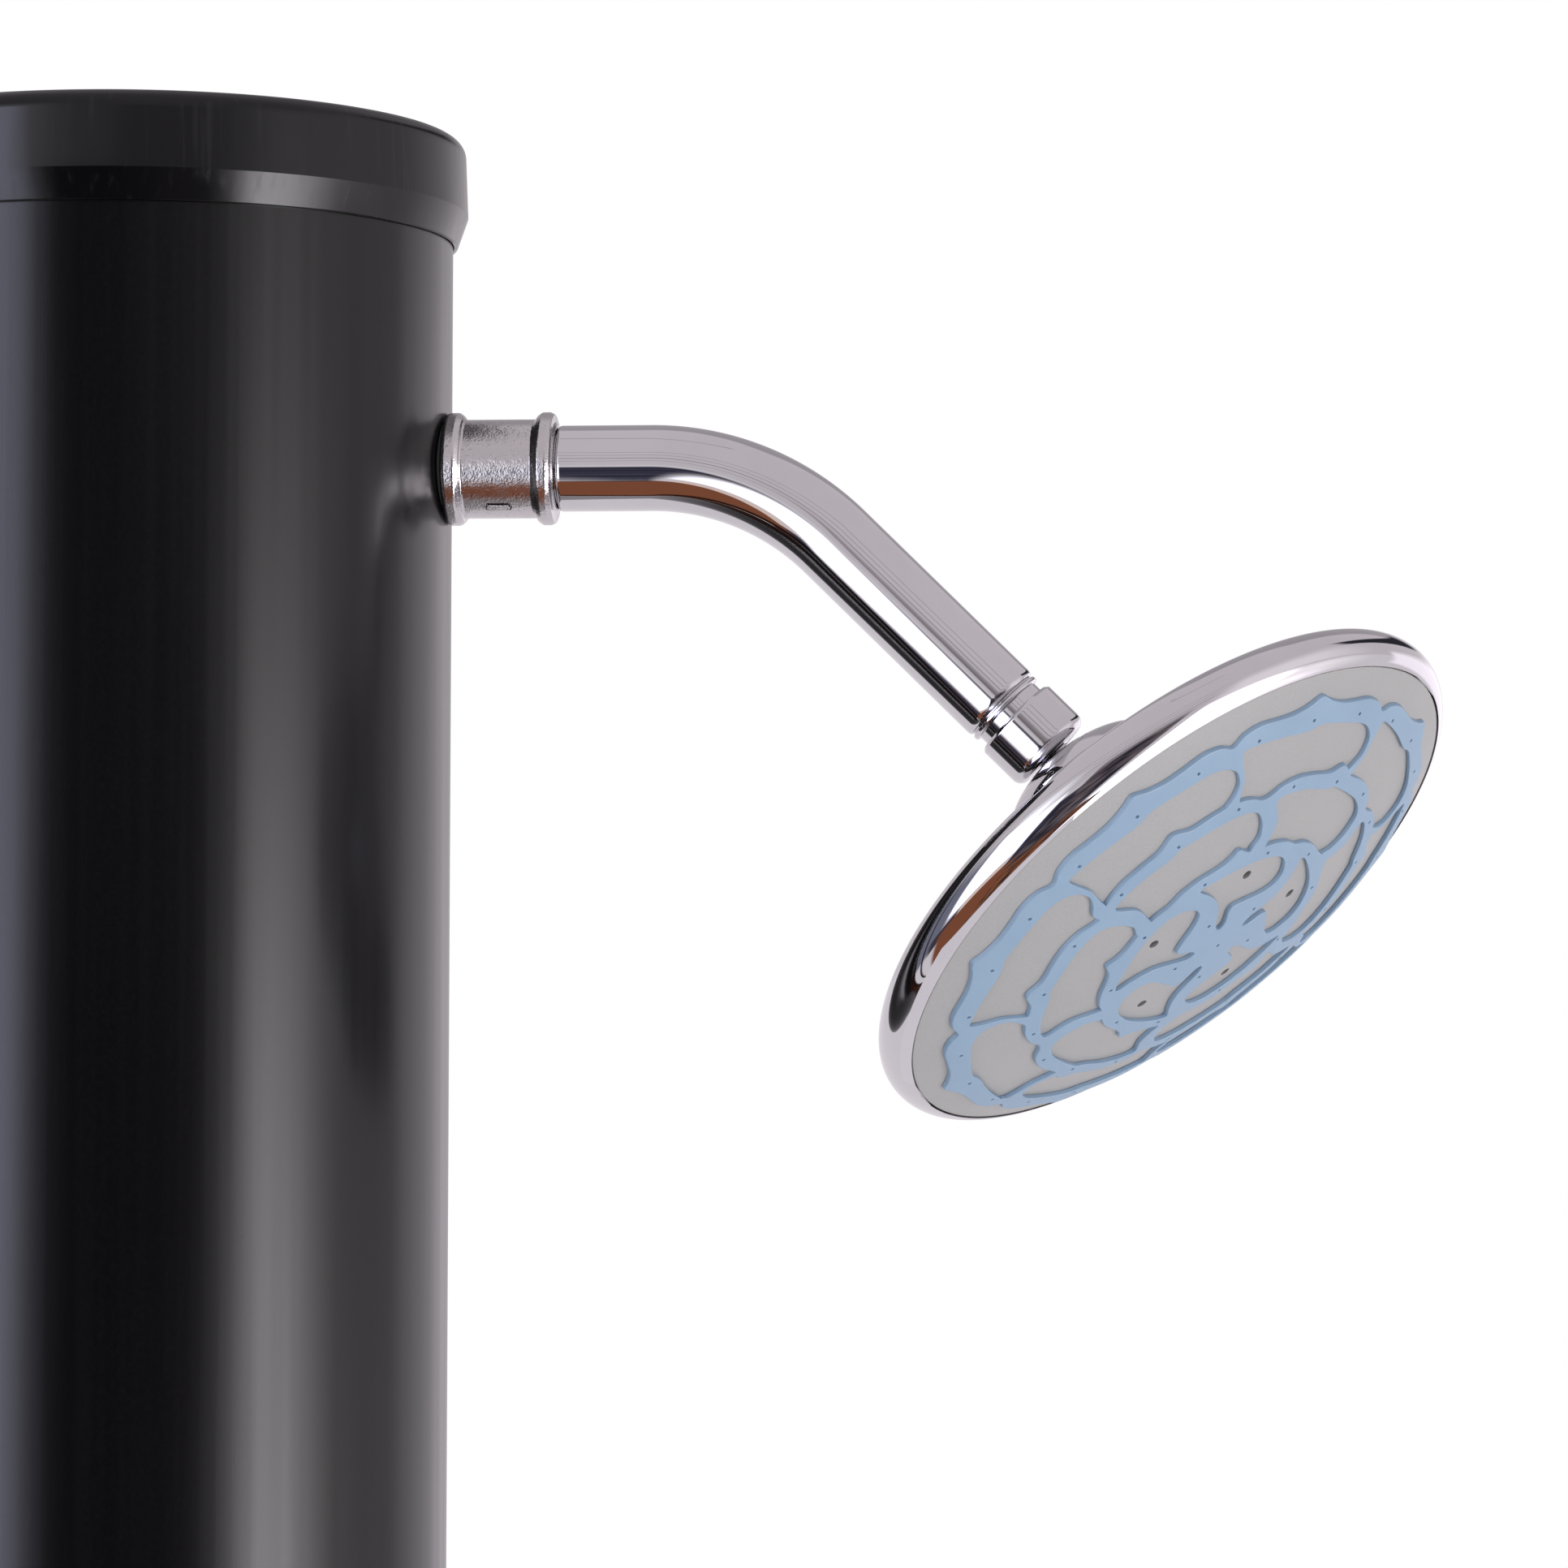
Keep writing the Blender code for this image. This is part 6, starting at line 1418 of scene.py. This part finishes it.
def drain():
    """The drain's bush and its hexagonal plug with a chamfered head."""
    bush = [
        (0.0069, 0.0852), (0.0153, 0.0852, 0.0005), (0.0160, 0.0845, 0.0004), (0.0160, GASKET_FRONT, 0.0004),
        (0.0105, GASKET_FRONT), (0.0105, 0.062), (0.0069, 0.062),
    ]
    turned_piece(
        "drain_bush_turned", bush, SIDE_DRAIN, SMALL * 2, PLASTIC_BLACK, "black_plastic", "drain_bush"
    )
    head = 0.0855
    plug = [
        (0, head - 0.0137), (0.0060, head - 0.0137, 0.0004), (0.0066, head - 0.0130), (0.0066, head),
        (0.0107, head, 0.0002), (0.0120, head + 0.0008, 0.0002), (0.0120, head + 0.0070, 0.0003),
        (0.0104, head + 0.0080, 0.0003), (0.0060, head + 0.0080, 0.0002), (0.0056, head + 0.0074, 0.0002),
        (0, head + 0.0074),
    ]
    turned_piece(
        "drain_plug_hex", plug, SIDE_DRAIN, ROUND, PLASTIC_BLACK, "black_plastic", "drain_plug",
        hexagon(0.0120),
    )


# What stays as the CAD made it, hidden inside or between other pieces
CARRIED_OVER = {
    "bottom_closure": TUBE_BLACK,
    "union_seal": RUBBER,
    "outlet_nipple": BRASS,
    "outlet_locknut": BRASS,
    "ball_seat": PLASTIC_WHITE,
    "ball_retainer": PLASTIC_WHITE,
    "chamber_seal": RUBBER,
    "mixer_locknut": BRASS,
    "mixer_cartridge": PLASTIC_WHITE,
    "cartridge_nut": BRASS,
    "mixer_carrier": PLASTIC_WHITE,
    "lever_stem": BRASS,
    "lever_screw": BRASS,
    "foot_tap_locknut": BRASS,
    "foot_tap_spindle": BRASS,
    "inlet_locknut": BRASS,
    "drain_locknut": PLASTIC_BLACK,
    "cold_riser_hose": HOSE_PLASTIC,
    "hot_pickup_pipe": HOSE_PLASTIC,
    "shower_riser_hose": HOSE_PLASTIC,
}


def carried_over():
    """Gives these solids their finish."""
    for name, finish in CARRIED_OVER.items():
        node = frame["nodes"][name]
        node.data.materials.clear()
        node.data.materials.append(finish)


head_shell()
face_plate()
nozzle_net()
shower_arm()
swivel()
outlet_socket()
end_cap()
tubes()
tube_union()
base_plate()
saddle("outlet_gasket_ring", 0.0137, 0.0103, 0.0799, FRONT_OUTLET, ARM_HEIGHT, "outlet_gasket")
saddle("foot_tap_gasket_ring", 0.0164, 0.0106, 0.0809, FRONT_FOOT_TAP, FOOT_TAP_HEIGHT, "foot_tap_gasket")
saddle("inlet_gasket_ring", 0.0184, 0.0135, 0.0809, BACK_INLET, INLET_HEIGHT, "inlet_gasket")
saddle("drain_gasket_ring", 0.0154, 0.0108, 0.0809, SIDE_DRAIN, DRAIN_HEIGHT, "drain_gasket")
mixer()
mixer_lever()
foot_tap()
foot_tap_handle()
hose_inlet()
drain()
carried_over()


# Studio

# Where the studio's cards are centred: the shower's head
STAGE_CENTRE = Vector((0.25, 0, 2.0))
CAMERA_PLACE = (0.3101, -1.4766, 1.9344)
LAMP_AIM = Vector((0.15, 0, 1.7))
FLOOR_RADIUS = 5.0
FILL = 0.36  # the plain light on everything that isn't metal
# The black flag: its left and right edge, its foot and top, and how far before the tank's axis it stands
FLAG_REACH = (-0.038, 0.046)
FLAG_HEIGHTS = (0.1, 2.155)
FLAG_DISTANCE = 0.11


def camera():
    """The photograph's view: a long lens a metre and a half in front of the shower's top."""
    data = bpy.data.cameras.new("camera")
    data.sensor_width = 36
    data.lens = 134.15
    data.clip_end = 60
    yaw = math.radians(-5.55)
    pitch = math.radians(2.65)
    roll = math.radians(0.15)
    forward = Vector((math.sin(yaw) * math.cos(pitch), math.cos(yaw) * math.cos(pitch), math.sin(pitch)))
    right = Vector((math.cos(yaw), -math.sin(yaw), 0))
    up = right.cross(forward)
    across = math.cos(roll) * right + math.sin(roll) * up
    upward = math.cos(roll) * up - math.sin(roll) * right
    obj = bpy.data.objects.new("camera", data)
    turn = Matrix((across, upward, -forward)).transposed().to_4x4()
    obj.matrix_world = Matrix.Translation(CAMERA_PLACE) @ turn
    SCENE.collection.objects.link(obj)
    SCENE.camera = obj


def background():
    """White where the camera, metal or glass looks into it, and a plain grey light on everything else."""
    world = bpy.data.worlds.new("studio")
    SCENE.world = world
    world.use_nodes = True
    tree = world.node_tree
    tree.nodes.clear()
    path = step_of(tree, "ShaderNodeLightPath")
    seen = maths(tree, "MAXIMUM", path.outputs["Is Camera Ray"], path.outputs["Is Transmission Ray"])
    mirrored = maths(tree, "MAXIMUM", seen, path.outputs["Is Glossy Ray"])
    white = step_of(tree, "ShaderNodeBackground", {"Color": (1, 1, 1, 1), "Strength": 1.0})
    fill = step_of(tree, "ShaderNodeBackground", {"Color": (0.97, 0.97, 1, 1), "Strength": FILL})
    mix = step_of(tree, "ShaderNodeMixShader", {0: mirrored, 1: fill.outputs[0], 2: white.outputs[0]})
    step_of(tree, "ShaderNodeOutputWorld", {0: mix.outputs[0]})


def floor():
    """A pale round floor that fades into the white of the background toward its edge."""
    made = bpy.data.materials.new("pale_floor")
    made.use_nodes = True
    tree = made.node_tree
    shader = tree.nodes["Principled BSDF"]
    shader.inputs["Base Color"].default_value = (0.80, 0.80, 0.80, 1)
    shader.inputs["Roughness"].default_value = 0.9
    spot = step_of(tree, "ShaderNodeTexCoord")
    far = step_of(tree, "ShaderNodeVectorMath", {0: spot.outputs["Object"]}, operation="LENGTH")
    fade = step_of(
        tree, "ShaderNodeMapRange",
        {"Value": far.outputs["Value"], "From Min": 1.0, "From Max": 4.5}, interpolation_type="SMOOTHSTEP",
    )
    glow = step_of(tree, "ShaderNodeEmission", {"Color": (1, 1, 1, 1), "Strength": 1.0})
    mix = step_of(tree, "ShaderNodeMixShader", {0: fade.outputs[0], 1: shader.outputs[0], 2: glow.outputs[0]})
    tree.links.new(mix.outputs[0], tree.nodes["Material Output"].inputs["Surface"])
    bm = bmesh.new()
    bmesh.ops.create_circle(bm, cap_ends=True, segments=96, radius=FLOOR_RADIUS)
    mesh = mesh_of("floor", bm)
    mesh.materials.append(made)
    disc = as_object(mesh)
    disc.visible_glossy = False


def around(azimuth, elevation, distance):
    """A point about the stage's centre: azimuth from the camera's side toward +X."""
    a = math.radians(azimuth)
    e = math.radians(elevation)
    level = math.cos(e)
    return STAGE_CENTRE + Vector((math.sin(a) * level, -math.cos(a) * level, math.sin(e))) * distance


def lamp(name, place, size, radiance, colour):
    """A soft lamp that looks at the shower, as bright as its card looks; the metal shows the card instead."""
    data = bpy.data.lights.new(name, "AREA")
    data.shape = "RECTANGLE"
    data.size, data.size_y = size
    data.energy = radiance * math.pi * size[0] * size[1]
    data.color = colour
    obj = bpy.data.objects.new(name, data)
    obj.matrix_world = along(place - LAMP_AIM, place)
    obj.visible_glossy = False
    SCENE.collection.objects.link(obj)


def soft_edge(tree, value, low, high):
    """Rises from 0 to 1 over the first part of a share, and falls to 0 over its last part."""
    slopes = []
    for start, end in ((0.0, max(low, 1e-4)), (1.0, 1 - max(high, 1e-4))):
        inputs = {"Value": value, "From Min": start, "From Max": end}
        slope = step_of(tree, "ShaderNodeMapRange", inputs, interpolation_type="SMOOTHSTEP")
        slopes.append(slope.outputs[0])
    return maths(tree, "MULTIPLY", *slopes)


def bare_material(name):
    """A material with an empty tree, and the tree."""
    made = bpy.data.materials.new(name)
    made.use_nodes = True
    made.node_tree.nodes.clear()
    return made, made.node_tree


def glowing(tree, colour):
    """An even glow in a colour."""
    return step_of(tree, "ShaderNodeEmission", {"Color": (*colour, 1), "Strength": 1.0})


def faded(tree, share, shader):
    """Ends a card's tree: clear where the share is 0, the shader where it is 1."""
    clear = step_of(tree, "ShaderNodeBsdfTransparent")
    mix = step_of(tree, "ShaderNodeMixShader", {0: share, 1: clear.outputs[0], 2: shader.outputs[0]})
    step_of(tree, "ShaderNodeOutputMaterial", {0: mix.outputs[0]})


def metal_only(mesh, finish):
    """Adds a card to the studio that shows in reflections and nowhere else."""
    mesh.materials.append(finish)
    obj = as_object(mesh)
    obj.visible_camera = False
    obj.visible_diffuse = False
    obj.visible_shadow = False


def rectangle(name, corners):
    """A flat mesh with four corners."""
    mesh = bpy.data.meshes.new(name)
    mesh.from_pydata(corners, [], [(0, 1, 2, 3)])
    return mesh


def flag():
    """A black strip close in front of the tank, with soft sides, so that the tank's front stays dark."""
    made, tree = bare_material("black_flag")
    left, right = FLAG_REACH
    low, high = FLAG_HEIGHTS
    y = -FLAG_DISTANCE
    spot = step_of(tree, "ShaderNodeTexCoord")
    split = step_of(tree, "ShaderNodeSeparateXYZ", {0: spot.outputs["Object"]})
    inputs = {"Value": split.outputs["X"], "From Min": left, "From Max": right}
    across = step_of(tree, "ShaderNodeMapRange", inputs)
    faded(tree, soft_edge(tree, across.outputs[0], 0.30, 0.55), glowing(tree, (0, 0, 0)))
    corners = [(left, y, low), (right, y, low), (right, y, high), (left, y, high)]
    metal_only(rectangle("black_flag", corners), made)


def under_card():
    """A white card under the arm, so that its underside shows no foot."""
    made, tree = bare_material("white_card")
    step_of(tree, "ShaderNodeOutputMaterial", {0: glowing(tree, (0.94, 0.90, 0.95)).outputs[0]})
    corners = [(0.085, -0.2, 1.5), (0.6, -0.2, 1.5), (0.6, 0.4, 1.5), (0.085, 0.4, 1.5)]
    metal_only(rectangle("white_card", corners), made)


def card(
    name, azimuths, elevations, distance, colour, soft=(0.1, 0.1, 0.1, 0.1), slant=0.0, other=None, spots=None
):
    """A studio card that only the metal shows: its reach in degrees, its colour and how soft its edges are.

    The slant says how many degrees higher its last edge stands than its first. A card with another colour is
    mottled with it, in so many spots across and up.
    """
    made, tree = bare_material(name)
    spot = step_of(tree, "ShaderNodeUVMap", uv_map="reach")
    split = step_of(tree, "ShaderNodeSeparateXYZ", {0: spot.outputs[0]})
    across = soft_edge(tree, split.outputs[0], soft[0], soft[1])
    upward = soft_edge(tree, split.outputs[1], soft[2], soft[3])
    glow = glowing(tree, colour)
    if other:
        spread = step_of(tree, "ShaderNodeMapping", {"Vector": spot.outputs[0], "Scale": (*spots, 1)})
        inputs = {"Vector": spread.outputs[0], "Scale": 1.0, "Detail": 3.0}
        blotch = step_of(tree, "ShaderNodeTexNoise", inputs).outputs["Fac"]
        tone = between(tree, ranged(tree, blotch, 0, 1, 0.42, 0.62), colour, other)
        tree.links.new(tone, glow.inputs["Color"])
    faded(tree, maths(tree, "MULTIPLY", across, upward), glow)
    bm = bmesh.new()
    uv = bm.loops.layers.uv.new("reach")
    columns = max(2, round((azimuths[1] - azimuths[0]) / 8))
    rows = max(2, round((elevations[1] - elevations[0]) / 8))
    grid = []
    for j in range(rows + 1):
        elevation = elevations[0] + (elevations[1] - elevations[0]) * j / rows
        line = []
        for i in range(columns + 1):
            share = i / columns
            azimuth = azimuths[0] + (azimuths[1] - azimuths[0]) * share
            point = around(azimuth, elevation + slant * share, distance)
            line.append((bm.verts.new(point), (share, j / rows)))
        grid.append(line)
    for low, high in zip(grid, grid[1:]):
        for i in range(columns):
            corners = (low[i], low[i + 1], high[i + 1], high[i])
            face = bm.faces.new([corner[0] for corner in corners])
            for loop, corner in zip(face.loops, corners):
                loop[uv].uv = corner[1]
    metal_only(mesh_of(name, bm), made)


background()
floor()
card("backdrop", (-180, 180), (-89, 8), 9.4, (0.90, 0.85, 0.90), (0, 0, 0, 0.1))
card("ceiling", (-180, 180), (0, 90), 9.0, (0.765, 0.72, 0.755), (0, 0, 0.06, 0))
for height, wide in ((13, 1.2), (19.5, 2.6), (28, 1.4), (36, 1.2), (77, 1.8)):
    card(
        "ceiling_line", (-70, 60), (height, height + wide), 8.9, (0.36, 0.34, 0.36), (0.1, 0.1, 0.4, 0.4), 1.5
    )
card("grey_behind", (148, 212), (14, 66), 8.3, (0.46, 0.43, 0.46), (0.15, 0.15, 0.15, 0.15))
card("dark_behind", (106, 168), (34, 46), 8.1, (0.03, 0.03, 0.04), (0.15, 0.15, 0.2, 0.2), -23)
card("glow_over_softbox", (42, 122), (5, 44), 8.4, (1.12, 1.06, 1.1), (0.25, 0.45, 0.1, 0.6))
card("glow_over_window", (-66, -12), (6, 34), 8.4, (1.45, 1.45, 1.55), (0.3, 0.4, 0.1, 0.6))
card("glow_behind", (122, 176), (-14, 14), 8.2, (1.42, 1.33, 1.43), (0.08, 0.3, 0.2, 0.3))
card("dark_under_softbox", (38, 104), (-78, -56), 8.1, (0.25, 0.21, 0.21), (0.1, 0.2, 0.2, 0.1))
card("softbox_wide", (62, 118), (-56, 8), 8.0, (1.45, 1.38, 1.42), (0.1, 0.45, 0.05, 0.22))
card("softbox_low", (62, 116), (-58, -12), 7.9, (2.5, 2.3, 2.5), (0.1, 0.55, 0.05, 0.3))
card("softbox_bright", (47, 90), (-50, 9), 7.6, (12.0, 11.55, 11.85), (0.07, 0.70, 0.08, 0.32))
card("window_left", (-58, -11), (-32, 9), 7.2, (1.95, 1.96, 2.15), (0.12, 0.06, 0.06, 0.10))
card("window_left_bright", (-64, -30), (-30, 20), 7.1, (4.5, 4.5, 5.8), (0.2, 0.2, 0.1, 0.1))
card("warm_wall_left", (-50, -13), (-57, -30), 7.0, (0.98, 0.80, 0.72), (0.2, 0.1, 0.15, 0.15))
card("dark_left", (-102, -58), (-46, 26), 7.4, (0.22, 0.23, 0.30), (0.2, 0.2, 0.1, 0.35))
card("dark_corner_left", (-76, -46), (-47, -31), 6.8, (0.07, 0.06, 0.08), (0.2, 0.15, 0.15, 0.2))
card("dark_room", (-2, 42), (-52, 22), 6.0, (0.04, 0.035, 0.05), (0.08, 0.12, 0.05, 0.24), 0,
     (0.20, 0.165, 0.175), (3, 10))
card("dark_room_side", (-13, 4), (-41, 1), 6.1, (0.03, 0.03, 0.05), (0.2, 0.05, 0.02, 0.10), 0,
     (0.08, 0.08, 0.12), (1, 6))
card("wood_floor", (-66, 2), (-82, -38), 6.6, (0.285, 0.102, 0.054), (0.1, 0.02, 0.05, 0.02))
card("wood_floor", (0, 68), (-82, -42), 6.5, (0.315, 0.122, 0.06), (0.02, 0.1, 0.05, 0.08), 0,
     (0.05, 0.03, 0.03), (3, 7))
flag()
under_card()
lamp("softbox_right", around(58, -20, 2.4), (1.2, 1.9), 3.4, (1, 0.99, 0.98))
lamp("softbox_left", around(-32, -10, 2.6), (1.6, 1.7), 1.3, (0.92, 0.96, 1))
lamp("softbox_top", Vector((0.2, -0.3, 4.6)), (2.4, 2.4), 1.3, (1, 1, 1))
camera()

SCENE.view_settings.view_transform = "Standard"
